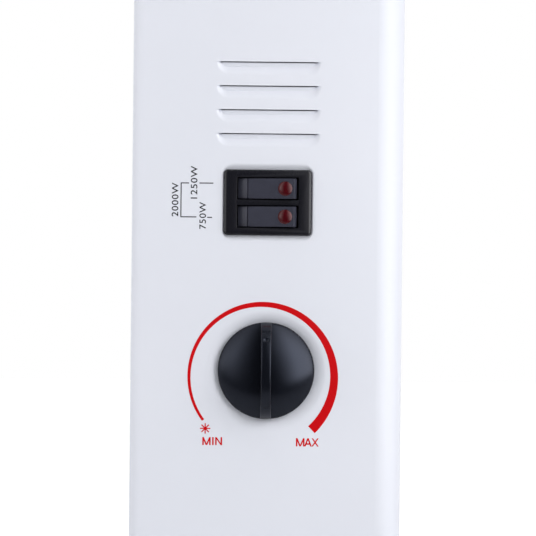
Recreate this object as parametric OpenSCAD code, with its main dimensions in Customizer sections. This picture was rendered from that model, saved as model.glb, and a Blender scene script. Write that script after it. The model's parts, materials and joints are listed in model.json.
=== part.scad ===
// Convector heater: a sheet steel casing on two feet, with its controls on one end.
// X runs along the casing with the control end at -X, the front faces -Y, and Z is up from the floor.

/* [Casing] */
// Length of the casing from end face to end face
case_l = 520; // [460:5:720]
// Depth of the casing from front to back
case_d = 99; // [95:1:120]
// Height of the casing without its feet
case_h = 340; // [330:5:420]
// Height of the casing's bottom edge above the floor
lift = 45; // [42:1:60]
// Thickness of the painted steel sheet
sheet = 0.8; // [0.6:0.1:1]
// Outer radius of the front bends
front_bend = 9.4; // [6:0.2:10]
// Outer radius of the rear bends
rear_bend = 4; // [2:0.5:5]
// Outer radius of the bend along each end's top edge
end_bend = 5; // [3:0.5:7]
// Outer radius of the bends along the bottom
base_bend = 1.5; // [1.2:0.1:2]
// Length of the end shells along the front, the top and the back
wrap = 30; // [26:1:34]
// Open seam between an end shell and the panels
seam = 0.4; // [0.2:0.1:0.8]
// Width of a panel's lip behind an end shell
lip_w = 10; // [8:1:12]
// Width of the panels' returns along the top and the bottom
return_w = 14; // [12:1:16]
// Clearance between sheets that lie behind each other
sheet_fit = 0.2; // [0.1:0.05:0.3]

/* [Louvres] */
// Length of a louvre
louvre_l = 36.7; // [30:0.1:40]
// Height of a louvre's pocket below its slit
louvre_h = 4.2; // [3.5:0.1:5]
// Depth that a louvre is pressed in
louvre_in = 2.2; // [1.6:0.1:2.4]
// Height of the open slit
louvre_slit = 0.9; // [0.6:0.1:1.2]
// Distance from one louvre to the next one above it
louvre_pitch = 8.7; // [7.5:0.1:10]
// Number of louvres above the switch, and of rows in the front
louvre_n = 4; // [2:1:5]
// Height of the lowest slit above the knob's axis
louvre_rise = 86.3; // [82:0.1:92]
// Distance between the columns of louvres in the front
column_pitch = 44; // [42:0.5:50]
// Drop from the casing's top to the highest slit in the front
front_drop = 26; // [22:0.5:40]

/* [Grilles] */
// Length of a slot in the top grille and the bottom plate
slot_l = 34; // [24:1:38]
// Width of a slot
slot_w = 5; // [4:0.5:6]
// Distance between the rows of slots
slot_pitch = 10.5; // [9:0.5:12]
// Bar between the ends of two slots
slot_bar = 5; // [4:0.5:8]
// Height of the rear inlet's middle above the casing's bottom edge
inlet_up = 48; // [44:1:80]
// How far the top grille reaches under the sheet around it
grille_tuck = 5; // [3:0.5:5]

/* [Knob] */
// Height of the knob's axis above the casing's bottom edge
knob_up = 105; // [95:1:120]
// Diameter of the knob
knob_d = 35; // [30:0.5:36]
// Height of the knob's rim above the dish
rim_h = 2.6; // [2:0.1:3.5]
// Height of the dome above the rim
dome_h = 6.9; // [6:0.1:9]
// Wall of the knob
knob_wall = 1.5; // [1.2:0.1:2]
// Height of the fin's crest above the dish
fin_h = 15.5; // [13:0.5:20]
// Width of the fin along its crest
fin_crest = 3; // [2.4:0.1:4]
// Width of the fin at the dome
fin_base = 4; // [3.4:0.1:5]
// How far the fin stands past the rim at each end
fin_over = 0.3; // [0.1:0.1:0.6]
// Height of the fin's ends above the dish
fin_end_h = 5; // [4:0.5:7]
// Diameter of the dot on the fin
dot_d = 2; // [1.6:0.1:2.4]
// Running gap under the knob
knob_gap = 0.6; // [0.4:0.1:1]
// Radius of the dish's rim
dish_r = 21.3; // [20.8:0.1:24]
// Radius of the dish's floor
dish_floor_r = 19; // [18.6:0.1:20]
// Depth of the dish
dish_in = 1.8; // [1.2:0.1:2.4]

/* [Thermostat] */
// Diameter of the thermostat's shaft
shaft_d = 6; // [5:0.5:6]
// Height of the shaft's end above the dish
shaft_out = 7.6; // [6:0.1:7.6]
// Depth of the shaft's end in the thermostat
shaft_in = 7; // [5:0.5:9]
// Depth of the flat on the shaft, measured from its round side
shaft_flat = 0.8; // [0.5:0.1:1]
// Radial clearance of the turning shaft
shaft_fit = 0.05; // [0.03:0.01:0.1]
// Width of the thermostat across its screws
stat_w = 30; // [29:1:36]
// Height of the thermostat
stat_h = 22; // [18:1:28]
// Depth of the thermostat's moulded body
stat_t = 14; // [12:1:18]
// Thickness of the thermostat's plate
plate_t = 1.2; // [1:0.1:1.6]
// Distance between the thermostat's two screws
stat_pitch = 23; // [21:0.5:23]

/* [Switch] */
// Height of the switch's centre above the knob's axis
switch_rise = 61.1; // [52:0.1:66]
// Width of the bezel, front to back
bezel_w = 32; // [31:0.5:36]
// Height of the bezel
bezel_h = 24; // [23.5:0.5:28]
// Thickness of the bezel
bezel_t = 2.4; // [2:0.1:3]
// Corner radius of the bezel
bezel_r = 1.8; // [1:0.1:3]
// Width of the pressed recess past the bezel
pan_margin = 1.3; // [0.8:0.1:2]
// Depth of the pressed recess
pan_in = 1.2; // [0.8:0.1:1.8]
// Length of a rocker's opening
rocker_gap_l = 22.3; // [21.5:0.1:24]
// Height of a rocker's opening
rocker_gap_h = 8.15; // [7.8:0.05:8.4]
// Distance between the two rockers
rocker_pitch = 10.2; // [10:0.1:10.6]
// Gap between a rocker and its opening, at its ends
rocker_end_fit = 0.35; // [0.3:0.05:0.5]
// Gap between a rocker and its opening, along its sides
rocker_side_fit = 0.4; // [0.3:0.05:0.5]
// Distance from a rocker's middle to its crease
crease_off = 7.3; // [5:0.1:8]
// Depth of the crease below the bezel
crease_drop = 0.8; // [0.5:0.1:1.2]
// Tilt of the long face at rest
face_tilt = 10; // [8:0.5:11]
// Tilt of the short pad at rest
pad_tilt = 15; // [10:1:20]
// Depth of a rocker's pivot below the bezel
pivot_drop = 3.2; // [2.8:0.1:3.6]
// Depth of a rocker below its pivot
rocker_foot = 4.5; // [4:0.1:5]
// Diameter of a rocker's pins
pin_d = 2; // [1.6:0.1:2.4]
// Length of a rocker's pins past its sides
pin_out = 1.1; // [1:0.05:1.2]
// Radial clearance of the pins
pin_fit = 0.05; // [0.03:0.01:0.1]
// Depth of the housing behind the bezel
housing_t = 14; // [13:0.5:20]
// Wall of the housing around the rockers
housing_wall = 1.5; // [1.4:0.1:1.7]
// Diameter of a lens
lens_d = 5; // [4:0.1:5.4]
// Height of a lens's dome
lens_dome = 0.9; // [0.5:0.1:1.4]
// Distance from a rocker's middle to its lens
lens_off = 6.3; // [5:0.1:6.5]

/* [Heating chamber] */
// Distance from each end face to the bulkhead and to the element bracket
compartment = 66; // [62:1:80]
// Height of the large element above the casing's bottom edge
low_element_up = 40; // [38:1:44]
// Height of the small element above the large one
element_step = 44; // [42:1:48]
// Diameter of a heating rod
rod_d = 8; // [6:0.5:10]
// Radial clearance of a rod in its bush and its fins
rod_fit = 0.05; // [0.03:0.01:0.1]
// Width across the large element's fins
large_fin = 52; // [44:1:56]
// Width across the small element's fins
small_fin = 40; // [34:1:44]
// Thickness of a fin
fin_t = 1.6; // [1.2:0.1:2]
// Radius of a bush's body
bush_r = 7.5; // [6.5:0.1:9]
// Length of a bush
bush_l = 10; // [8:0.5:12]
// Height of the thermal cut-out above the casing's bottom edge
cutout_up = 175; // [165:1:200]
// Height of the element bracket and the deflector above the small element
bracket_rise = 110; // [90:5:140]
// Distance from the rear panel to the heat deflector
deflector_gap = 9; // [7:0.5:12]

/* [Feet and handles] */
// Length of a foot from front to back
foot_l = 200; // [180:5:240]
// Width of a foot
foot_w = 34; // [28:1:40]
// Height of the arch under a foot
arch_h = 28; // [20:1:28]
// Radius of a rubber pad
pad_r = 8; // [6:0.5:10]
// Height of the foot above the floor on its pads
pad_out = 2; // [1:0.5:3]
// Width of a handle's rim, front to back
handle_w = 76; // [70:1:78]
// Height of a handle's rim
handle_h = 30; // [26:1:32]
// Depth of the hand-hold
handle_in = 18; // [14:1:22]
// Thickness of a handle's rim
handle_rim = 1.6; // [1.2:0.1:2]
// Width of a handle's rim around its hollow
handle_border = 5; // [4:0.5:6]
// Distance from the casing's top to a handle's middle
handle_drop = 38; // [36:1:46]

/* [Gland] */
// Diameter of the bore for the supply cord
cord_bore_d = 8; // [6:0.5:9]
// Diameter of the gland's thread
gland_d = 12; // [11.5:0.5:14]
// Diameter of the gland's collar and nut
collar_d = 18; // [16:0.5:20]
// Length of the gland outside the rear panel
gland_out = 10; // [8:0.5:14]
// Length of the gland inside the rear panel
gland_in = 8; // [7:0.5:12]
// Distance from the end face to the gland
gland_x = 49; // [48:0.5:50]
// Height of the gland above the casing's bottom edge
gland_up = 26; // [25:1:32]

/* [Hidden] */
$fn = 96;
eps = 0.01;
cut = 1;

// Finishes
paint = [0.90, 0.91, 0.93];
black_plastic = [0.09, 0.09, 0.11];
dark_plastic = [0.17, 0.17, 0.20];
bare_steel = [0.66, 0.68, 0.70];
zinc = [0.74, 0.75, 0.76];
aluminium = [0.78, 0.79, 0.80];
brass_tone = [0.80, 0.66, 0.34];
ceramic_tone = [0.93, 0.91, 0.86];
lens_red = [0.55, 0.06, 0.10];

// The casing's faces: the knob stands out at one end and a handle's rim at the other
knob_out = fin_h - dish_in;
x0 = (knob_out - handle_rim - case_l) / 2;
x1 = x0 + case_l;
mid_x = (x0 + x1) / 2;
front_y = -case_d / 2;
rear_y = case_d / 2;
zb = lift;
zt = lift + case_h;
knob_z = zb + knob_up;

// Panels between the end shells
panel_x0 = x0 + wrap + seam;
panel_l = case_l - 2 * (wrap + seam);
lip_face = sheet + sheet_fit;
lip_back = lip_face + sheet;
lip_h = case_h - front_bend - return_w;

// Bottom plate: a tray that lies on the panels' bottom returns
tray_edge = lip_back + sheet_fit;
tray_z = zb + sheet;
tray_top = tray_z + sheet;
tray_flange = 12;
inner_half = case_d / 2 - tray_edge - sheet - sheet_fit;
bracket_flange = 13;

// Heating chamber
bulk_x = x0 + compartment;
far_x = x1 - compartment;
chamber_l = far_x - bulk_x - 2 * sheet;
element_zs = [zb + low_element_up, zb + low_element_up + element_step];
rod_r = rod_d / 2;
bush_flange_r = bush_r + 2.5;
bush_flange_t = 2.5;
rod_tail = 16;
tab_l = 10;
tab_w = 6.3;
tab_t = 0.8;
fin_start = bulk_x + sheet + bush_flange_t + 4;
fin_end = far_x - bush_flange_t - 4;
wall_top = zt - 2 * sheet - sheet_fit;
bracket_top = zb + low_element_up + element_step + bracket_rise;
cutout_z = zb + cutout_up;
cutout_r = 8;
cutout_pitch = 24;

// Switch
housing_w = rocker_gap_l + 2 * 3;
housing_h = rocker_pitch + rocker_gap_h + 2 * housing_wall;
hole_fit = 0.2;
rocker_r = rocker_gap_l / 2 - rocker_end_fit;
rocker_h = rocker_gap_h - 2 * rocker_side_fit;
pivot_z = bezel_t - pivot_drop;
crease_z = pivot_drop - crease_drop;
rocker_rows = [rocker_pitch / 2, -rocker_pitch / 2];
housing_floor = 1.5;
neon_r = 1.4;

// Screws
screw_r = 1.7;
screw_fit = 0.05;
head_r = 3.4;
head_t = 1.8;
m4_r = 2;
lead_r = 1.2;

// Helpers
// Square from its low corner, with a radius for each corner: low left, low right, high right, high left
module rounded_square(size, r) {
  difference() {
    square(size);
    corner_waste([0, 0], r[0], 1, 1);
    corner_waste([size.x, 0], r[1], -1, 1);
    corner_waste([size.x, size.y], r[2], -1, -1);
    corner_waste([0, size.y], r[3], 1, -1);
  }
}

module corner_waste(corner, r, in_x, in_y) {
  if (r > 0) {
    difference() {
      translate([corner.x - (in_x > 0 ? cut : r), corner.y - (in_y > 0 ? cut : r)]) square(r + cut);
      translate([corner.x + in_x * r, corner.y + in_y * r]) circle(r);
      translate([corner.x + (in_x > 0 ? r : -r - cut), corner.y - r - cut]) square([cut, 2 * (r + cut)]);
      translate([corner.x - r - cut, corner.y + (in_y > 0 ? r : -r - cut)]) square([2 * (r + cut), cut]);
    }
  }
}

module centred_plate(w, h, r) {
  translate([-w / 2, -h / 2]) rounded_square([w, h], [r, r, r, r]);
}

// Outlines drawn as (Y, Z) and drawn out along X
module along_x(start, length) {
  translate([start, 0, 0]) rotate([90, 0, 90]) linear_extrude(length) children();
}

// Outlines drawn as (X, Z) and drawn out along Y
module along_y(start, length) {
  translate([0, start + length, 0]) rotate([90, 0, 0]) linear_extrude(length) children();
}

// The control end's face: local Z points out of the panel, local X up, local Y to the rear
module on_end(rise) {
  translate([x0, 0, knob_z + rise]) rotate([0, -90, 0]) children();
}

module mirrored_end() {
  translate([2 * mid_x, 0, 0]) mirror([1, 0, 0]) children();
}

module both_ends() {
  children();
  mirrored_end() children();
}

module slot(l, w) {
  square([l - w, w], center = true);
  for (side = [-1, 1]) translate([side * (l - w) / 2, 0]) circle(w / 2, $fn = 24);
}

// Rows and columns of slots, centred
module slot_field(columns, rows, l, w, step_x, step_y) {
  for (i = [0:columns - 1], j = [0:rows - 1])
    translate([(i - (columns - 1) / 2) * step_x, (j - (rows - 1) / 2) * step_y]) slot(l, w);
}

// Casing sheets
// The casing's section across its length, set in from the outer faces
module case_section(inset, drop, low_r) {
  low = max(low_r - inset, 0);
  translate([front_y + inset, zb + inset - drop])
    rounded_square([case_d - 2 * inset, case_h - 2 * inset + drop],
      [low, low, rear_bend - inset, front_bend - inset]);
}

module end_block(inset, open) {
  length = wrap - inset + open;
  intersection() {
    along_x(x0 + inset, length) case_section(inset, open + inset, 0);
    translate([x0 + inset, front_y + inset, zb - open])
      linear_extrude(case_h - inset + open)
        rounded_square([length, case_d - 2 * inset], [front_bend - inset, 0, 0, rear_bend - inset]);
    along_y(front_y + inset, case_d - 2 * inset)
      translate([x0 + inset, zb - open])
        rounded_square([length, case_h - inset + open], [0, 0, 0, end_bend - inset]);
  }
}

module end_shell() {
  difference() {
    end_block(0, 0);
    end_block(sheet, cut);
    rear_screw_holes();
    handle_hole();
  }
}

// Pan head screws through the end shells and the rear panel's lips
screw_zs = [for (part = [0.1, 0.9]) zb + part * lip_h];
screw_x = x0 + wrap - lip_w / 2;

module screw_hole(h) {
  cylinder(h = h, r = screw_r + screw_fit, $fn = 32);
}

module rear_screw_holes() {
  for (z = screw_zs) translate([screw_x, rear_y - lip_back - cut, z]) rotate([-90, 0, 0])
    screw_hole(lip_back + 2 * cut);
}

// A pressed louvre in a front wall: the pocket below the slit is pressed in, towards +Y
module louvre_opening() {
  translate([-louvre_l / 2, -cut, -louvre_h]) cube([louvre_l, sheet + 2 * cut, louvre_h]);
}

module louvre_pocket() {
  lean = (louvre_in - sheet / 2) / (louvre_h - louvre_slit);
  rotate([90, 0, 90]) translate([0, 0, -louvre_l / 2]) linear_extrude(louvre_l)
    polygon([[0, -louvre_h - sheet], [sheet, -louvre_h - sheet], [louvre_in + sheet, -louvre_slit],
      [louvre_in, -louvre_slit], [0, -louvre_h]]);
  for (side = [0, 1]) translate([-louvre_l / 2 + side * (louvre_l - sheet), 0, 0])
    rotate([90, 0, 90]) linear_extrude(sheet)
      polygon([[0, -louvre_h], [0, 0], [sheet, 0], [louvre_in + sheet, -louvre_slit], [sheet, -louvre_h]]);
}

module on_end_louvres() {
  for (i = [0:louvre_n - 1])
    translate([x0, 0, knob_z + louvre_rise + i * louvre_pitch]) rotate([0, 0, -90]) children();
}

module front_louvres() {
  columns = floor((chamber_l - 10) / column_pitch);
  for (i = [0:columns - 1], j = [0:louvre_n - 1])
    translate([mid_x + (i - (columns - 1) / 2) * column_pitch, front_y, zt - front_drop - j * louvre_pitch])
      children();
}

pan_w = bezel_w + 2 * pan_margin;
pan_h = bezel_h + 2 * pan_margin;

module pan(grow, depth, above) {
  on_end(switch_rise) translate([0, 0, -depth]) linear_extrude(depth + above)
    centred_plate(pan_h + 2 * grow, pan_w + 2 * grow, bezel_r + pan_margin + grow);
}

module dish(grow, depth, above) {
  on_end(0) translate([0, 0, -depth]) {
    cylinder(h = depth, r1 = dish_floor_r + grow, r2 = dish_r + grow);
    if (above > 0) cylinder(h = depth + above, r = dish_floor_r + grow);
  }
}

module control_end_panel() {
  color(paint) difference() {
    union() {
      difference() {
        end_shell();
        on_end_louvres() louvre_opening();
      }
      on_end_louvres() louvre_pocket();
      dish(sheet, dish_in + sheet, 0);
      pan(sheet, pan_in + sheet, 0);
    }
    dish(0, dish_in, cut);
    pan(0, pan_in, cut);
    on_end(0) translate([0, 0, -dish_in - sheet - cut]) {
      cylinder(h = sheet + 2 * cut, r = shaft_d / 2 + 1.5);
      for (side = [-1, 1]) translate([0, side * stat_pitch / 2, 0])
        screw_hole(sheet + 2 * cut);
    }
    on_end(switch_rise)
      translate([-housing_h / 2 - hole_fit, -housing_w / 2 - hole_fit, -pan_in - sheet - cut])
        cube([housing_h + 2 * hole_fit, housing_w + 2 * hole_fit, sheet + 2 * cut]);
  }
}

module plain_end_panel() {
  color(paint) mirrored_end() end_shell();
}

// Front or rear panel: its wall, its returns and a lip behind each end shell
module wall_panel(side) {
  edge = side > 0 ? rear_y - return_w : front_y;
  difference() {
    along_x(panel_x0, panel_l) intersection() {
      difference() {
        case_section(0, 0, base_bend);
        case_section(sheet, 0, base_bend);
      }
      translate([edge, zb - cut]) square([return_w, case_h + 2 * cut]);
    }
    at_base_screws() translate([0, 0, -cut]) screw_hole(3 * sheet + cut);
  }
  both_ends() {
    lip_y = side > 0 ? rear_y - lip_back : front_y + lip_face;
    web_y = side > 0 ? rear_y - lip_back : front_y;
    translate([panel_x0 - seam - lip_w, lip_y, zb + return_w / 2]) cube([lip_w + seam + sheet, sheet, lip_h]);
    translate([panel_x0, web_y, zb + return_w / 2]) cube([sheet, lip_back, lip_h]);
  }
}

module front_panel() {
  color(paint) {
    difference() {
      wall_panel(-1);
      front_louvres() louvre_opening();
    }
    front_louvres() louvre_pocket();
  }
}

// Rows of slots across the rear panel, clear of the gland
module rear_slots(rows) {
  columns = floor((panel_l - 120) / column_pitch);
  slot_field(columns, rows, slot_l, slot_w, column_pitch, slot_pitch);
}

module rear_panel() {
  color(paint) difference() {
    wall_panel(1);
    both_ends() rear_screw_holes();
    along_y(rear_y - sheet - cut, sheet + 2 * cut) {
      translate([mid_x, zb + inlet_up]) rear_slots(4);
      translate([mid_x, zt - front_drop - slot_pitch]) rear_slots(2);
    }
    translate([x0 + gland_x, rear_y - sheet - cut, zb + gland_up]) rotate([-90, 0, 0])
      cylinder(h = sheet + 2 * cut, r = gland_d / 2 + screw_fit);
  }
}

grille_half = case_d / 2 - return_w + grille_tuck;
grille_l = case_l - 2 * (wrap - grille_tuck);
grille_columns = floor((grille_l - 2 * grille_tuck) / (slot_l + slot_bar));
grille_rows = floor((case_d - 2 * return_w) / slot_pitch);

module top_grille() {
  color(paint) difference() {
    translate([x0 + wrap - grille_tuck, -grille_half, zt - 2 * sheet])
      cube([grille_l, 2 * grille_half, sheet]);
    translate([mid_x, 0, zt - 2 * sheet - cut]) linear_extrude(sheet + 2 * cut)
      slot_field(grille_columns, grille_rows, slot_l, slot_w, slot_l + slot_bar, slot_pitch);
  }
}

module tray_outline(inset) {
  edge = tray_edge + inset;
  end_edge = sheet + sheet_fit + inset;
  translate([x0 + end_edge, front_y + edge])
    rounded_square([case_l - 2 * end_edge, case_d - 2 * edge],
      [front_bend - inset, front_bend - inset, rear_bend - inset, rear_bend - inset]);
}

foot_x = x0 + 40;
foot_screw_y = 22;
block_x = x0 + 22;
block_y = 6;
earth_x = x0 + 17;
earth_y = -26;

// Screws from below: two into each panel's return, two into each upright's flange
base_screw_xs = [x0 + 150, x1 - 150];
base_screw_y = case_d / 2 - return_w / 2 - 1;
flange_screw_y = case_d / 2 - return_w - head_r - 1.1;
flange_screw_x = bulk_x + sheet + bracket_flange / 2;

module at_base_screws() {
  for (x = base_screw_xs, side = [-1, 1]) translate([x, side * base_screw_y, zb]) children();
}

module at_flange_screws() {
  both_ends() for (side = [-1, 1])
    translate([flange_screw_x, side * flange_screw_y, tray_z]) children();
}

module bottom_plate() {
  color(zinc) difference() {
    translate([0, 0, tray_z]) linear_extrude(sheet + tray_flange) tray_outline(0);
    translate([0, 0, tray_top]) linear_extrude(tray_flange + cut) tray_outline(sheet);
    translate([mid_x, 0, tray_z - cut]) linear_extrude(sheet + 2 * cut)
      slot_field(floor((chamber_l - bush_r) / column_pitch), 5, slot_l, slot_w, column_pitch, slot_pitch);
    both_ends() for (side = [-1, 1]) translate([foot_x, side * foot_screw_y, tray_z - cut])
      cylinder(h = sheet + 2 * cut, r = m4_r + screw_fit, $fn = 32);
    at_base_screws() screw_hole(3 * sheet);
    at_flange_screws() translate([0, 0, -cut]) screw_hole(sheet + 2 * cut);
    translate([earth_x, earth_y, tray_z - cut]) cylinder(h = sheet + 2 * cut, r = m4_r + screw_fit, $fn = 32);
  }
}

// Upright sheet across the casing with a flange on the bottom plate, holes for both bushes
module upright(top) {
  difference() {
    union() {
      along_x(bulk_x, sheet) translate([-inner_half, tray_top])
        rounded_square([2 * inner_half, top - tray_top], [0, 0, 0, front_bend]);
      translate([bulk_x, -inner_half, tray_top]) cube([bracket_flange + sheet, 2 * inner_half, sheet]);
    }
    for (z = element_zs) translate([bulk_x - cut, 0, z]) rotate([0, 90, 0])
      cylinder(h = sheet + 2 * cut, r = bush_r + screw_fit);
    for (side = [-1, 1]) translate([flange_screw_x, side * flange_screw_y, tray_top - cut])
      screw_hole(sheet + 2 * cut);
  }
}

module bulkhead() {
  color(zinc) difference() {
    upright(wall_top);
    translate([bulk_x - cut, 0, cutout_z]) rotate([0, 90, 0]) {
      cylinder(h = sheet + 2 * cut, r = cutout_r + 0.5);
      for (side = [-1, 1]) translate([0, side * cutout_pitch / 2, 0])
        screw_hole(sheet + 2 * cut);
    }
  }
}

module element_bracket() {
  color(zinc) mirrored_end() upright(bracket_top);
}

module heat_deflector() {
  face_y = rear_y - sheet - deflector_gap;
  low_z = tray_top + tray_flange + 4;
  flange_w = 12;
  lip = 8;
  color(aluminium) {
    translate([bulk_x + sheet, face_y - sheet, low_z]) cube([chamber_l, sheet, bracket_top - low_z]);
    for (x = [bulk_x + sheet, far_x - 2 * sheet])
      translate([x, face_y - flange_w, low_z]) cube([sheet, flange_w, bracket_top - low_z]);
    translate([bulk_x + sheet, face_y - sheet - lip, low_z]) cube([chamber_l, lip + sheet, sheet]);
  }
}

// Finned aluminium extrusion: four wings with short ribs, pressed round the rod
module fin_profile(size) {
  sleeve_wall = 2.6;
  rib_h = 9;
  difference() {
    union() {
      circle(rod_r + sleeve_wall);
      for (turn = [45, 135]) rotate(turn) {
        square([size, fin_t], center = true);
        for (side = [-1, 1], part = [0.5, 0.8])
          translate([side * size / 2 * part, 0]) square([fin_t, rib_h], center = true);
      }
    }
    circle(rod_r + rod_fit);
  }
}

module fins(z, size) {
  color(aluminium) translate([0, 0, z]) along_x(fin_start, fin_end - fin_start) fin_profile(size);
}

module fins_1250w() { fins(element_zs[0], large_fin); }
module fins_750w() { fins(element_zs[1], small_fin); }

module heating_rod(z) {
  color(bare_steel) translate([bulk_x - rod_tail, 0, z]) rotate([0, 90, 0])
    cylinder(h = far_x + bush_l - bulk_x + rod_tail, r = rod_r);
}

module rod_1250w() { heating_rod(element_zs[0]); }
module rod_750w() { heating_rod(element_zs[1]); }

module bush() {
  rotate([0, 90, 0]) difference() {
    union() {
      cylinder(h = bush_flange_t, r = bush_flange_r);
      translate([0, 0, -bush_l + bush_flange_t]) cylinder(h = bush_l - eps, r = bush_r);
    }
    translate([0, 0, -bush_l]) cylinder(h = 2 * bush_l, r = rod_r + rod_fit);
  }
}

module element_bushes() {
  color(ceramic_tone) both_ends() for (z = element_zs) translate([bulk_x + sheet, 0, z]) bush();
}

tab_offset = 2;

module element_terminals() {
  color(brass_tone) for (z = element_zs, side = [-1, 1])
    translate([bulk_x - rod_tail - tab_l, side * tab_offset - tab_t / 2, z - tab_w / 2])
      cube([tab_l, tab_t, tab_w]);
}

// Bimetal disc cut-out: its flange lies on the bulkhead and its can reaches into the warm air
cutout_flange_t = 1;
cutout_back = 8;
cutout_can = 6;
cutout_tab_off = 4;

module thermal_cutout() {
  color([0.16, 0.15, 0.14]) translate([bulk_x, 0, cutout_z]) rotate([0, 90, 0]) {
    difference() {
      union() {
        translate([0, 0, -cutout_flange_t]) linear_extrude(cutout_flange_t)
          rotate(90) slot(cutout_pitch + 10, 14);
        translate([0, 0, -cutout_back]) cylinder(h = cutout_back - eps, r = cutout_r - 1);
        translate([0, 0, -cutout_flange_t]) cylinder(h = cutout_can + cutout_flange_t, r = cutout_r);
      }
      for (side = [-1, 1]) translate([0, side * cutout_pitch / 2, -cutout_flange_t - cut])
        screw_hole(cutout_flange_t + 2 * cut);
    }
    for (side = [-1, 1]) translate([-tab_w / 2, side * cutout_tab_off - tab_t / 2, -cutout_back - tab_l])
      cube([tab_w, tab_t, tab_l + eps]);
  }
}

// Pan head screw along local +Z with its head below zero
module screw(l, r, head, thick) {
  recess = head * 1.2;
  recess_w = 0.8;
  difference() {
    union() {
      translate([0, 0, -thick]) cylinder(h = thick, r = head, $fn = 48);
      translate([0, 0, -eps]) cylinder(h = l + eps, r = r, $fn = 32);
    }
    for (turn = [0, 90]) rotate(turn) translate([-recess / 2, -recess_w / 2, -thick - cut])
      cube([recess, recess_w, cut + thick / 2]);
  }
}

module cutout_screws() {
  color(zinc) for (side = [-1, 1])
    translate([bulk_x - cutout_flange_t, side * cutout_pitch / 2, cutout_z]) rotate([0, 90, 0])
      screw(6, screw_r, 2.8, 1.6);
}

// Thermostat behind the dish
stat_face = -dish_in - sheet;

module thermostat_plate() {
  color(zinc) on_end(0) translate([0, 0, stat_face - plate_t]) difference() {
    linear_extrude(plate_t) centred_plate(stat_h, stat_w, 2);
    translate([0, 0, -cut]) cylinder(h = plate_t + 2 * cut, r = shaft_d / 2 + shaft_fit);
    for (side = [-1, 1]) translate([0, side * stat_pitch / 2, -cut])
      screw_hole(plate_t + 2 * cut);
  }
}

stat_back = stat_face - plate_t - stat_t;
stat_screw_l = 8;

module thermostat_body() {
  color([0.20, 0.16, 0.13]) on_end(0) difference() {
    translate([0, 0, stat_back]) linear_extrude(stat_t) centred_plate(stat_h, stat_w, 1.5);
    translate([0, 0, stat_face - plate_t - shaft_in - 0.3])
      cylinder(h = shaft_in + cut + 0.3, r = shaft_d / 2 + shaft_fit);
    for (side = [-1, 1]) translate([0, side * stat_pitch / 2, stat_face - stat_screw_l])
      screw_hole(stat_screw_l);
  }
}

blade_gap = 2.5;

module thermostat_blade() {
  blade_w = 8;
  blade_t = 0.6;
  post = 6;
  edge = 2;
  color(brass_tone) on_end(0) translate([0, 0, stat_back]) {
    translate([-post / 2, stat_w / 2 - edge - post, -blade_gap]) cube([post, post, blade_gap]);
    translate([-blade_w / 2, -stat_w / 2 + edge, -blade_gap - blade_t])
      cube([blade_w, stat_w - 2 * edge, blade_t + eps]);
  }
}

stat_tab_x = 8;

module thermostat_terminals() {
  color(brass_tone) on_end(0) for (side = [-1, 1])
    translate([side * stat_tab_x - tab_t / 2, -tab_w / 2, stat_back - tab_l]) cube([tab_t, tab_w, tab_l]);
}

module thermostat_screws() {
  color(zinc) on_end(0) for (side = [-1, 1])
    translate([0, side * stat_pitch / 2, -dish_in]) rotate([180, 0, 0])
      screw(stat_screw_l - dish_in, screw_r, 3.2, 1.5);
}

module shaft_outline(r) {
  difference() {
    circle(r);
    translate([r - shaft_flat, -r]) square(2 * r);
  }
}

module thermostat_shaft() {
  flat_start = hub_low - 0.3;
  color(zinc) on_end(0) {
    translate([0, 0, stat_face - plate_t - shaft_in])
      cylinder(h = shaft_in + plate_t + sheet + flat_start, r = shaft_d / 2);
    translate([0, 0, -dish_in + flat_start - eps])
      linear_extrude(shaft_out - flat_start) shaft_outline(shaft_d / 2);
  }
}

// Knob, measured from the dish
knob_r = knob_d / 2;
dome_r = (knob_r * knob_r + dome_h * dome_h) / (2 * dome_h);
dome_centre = rim_h + dome_h - dome_r;
fin_half = knob_r + fin_over;
crest_rise = fin_h - fin_end_h;
crest_r = (fin_half * fin_half + crest_rise * crest_rise) / (2 * crest_rise);
hub_r = shaft_d / 2 + 2;
knob_low = knob_gap;
hub_low = knob_gap + 0.4;
fin_low = knob_low + 0.4;
fin_kink = rim_h - 0.8;

// Turned so that its seam lies clear of the fin
module dome() {
  rotate([0, 0, 45]) intersection() {
    translate([0, 0, knob_low]) cylinder(h = rim_h + dome_h, r = knob_r);
    translate([0, 0, dome_centre]) sphere(dome_r, $fn = 128);
  }
}

// The space under the dome, around the hub
module knob_hollow() {
  rotate_extrude() difference() {
    intersection() {
      translate([0, -cut]) square([knob_r - knob_wall, rim_h + dome_h]);
      translate([0, dome_centre]) circle(dome_r - knob_wall, $fn = 128);
    }
    translate([-cut, hub_low]) square([hub_r + cut, fin_h]);
  }
}

module finger_fin() {
  intersection() {
    rotate([90, 0, 90]) translate([0, 0, -fin_half]) linear_extrude(2 * fin_half)
      polygon([[-fin_base / 2, fin_low], [fin_base / 2, fin_low], [fin_base / 2, fin_kink],
        [fin_crest / 2, fin_h], [-fin_crest / 2, fin_h], [-fin_base / 2, fin_kink]]);
    translate([0, fin_base, fin_h - crest_r]) rotate([90, 0, 0])
      cylinder(h = 2 * fin_base, r = crest_r, $fn = 128);
  }
}

module control_knob() {
  dot_x = knob_r * 0.64;
  dot_floor = fin_h - crest_r + sqrt(crest_r * crest_r - dot_x * dot_x) - 0.4;
  color(black_plastic) on_end(0) translate([0, 0, -dish_in]) difference() {
    union() {
      dome();
      finger_fin();
    }
    knob_hollow();
    translate([0, 0, -cut]) linear_extrude(shaft_out + 0.3 + cut) shaft_outline(shaft_d / 2 + screw_fit);
    translate([dot_x, 0, dot_floor]) cylinder(h = fin_h, r = dot_d / 2);
  }
}

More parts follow.
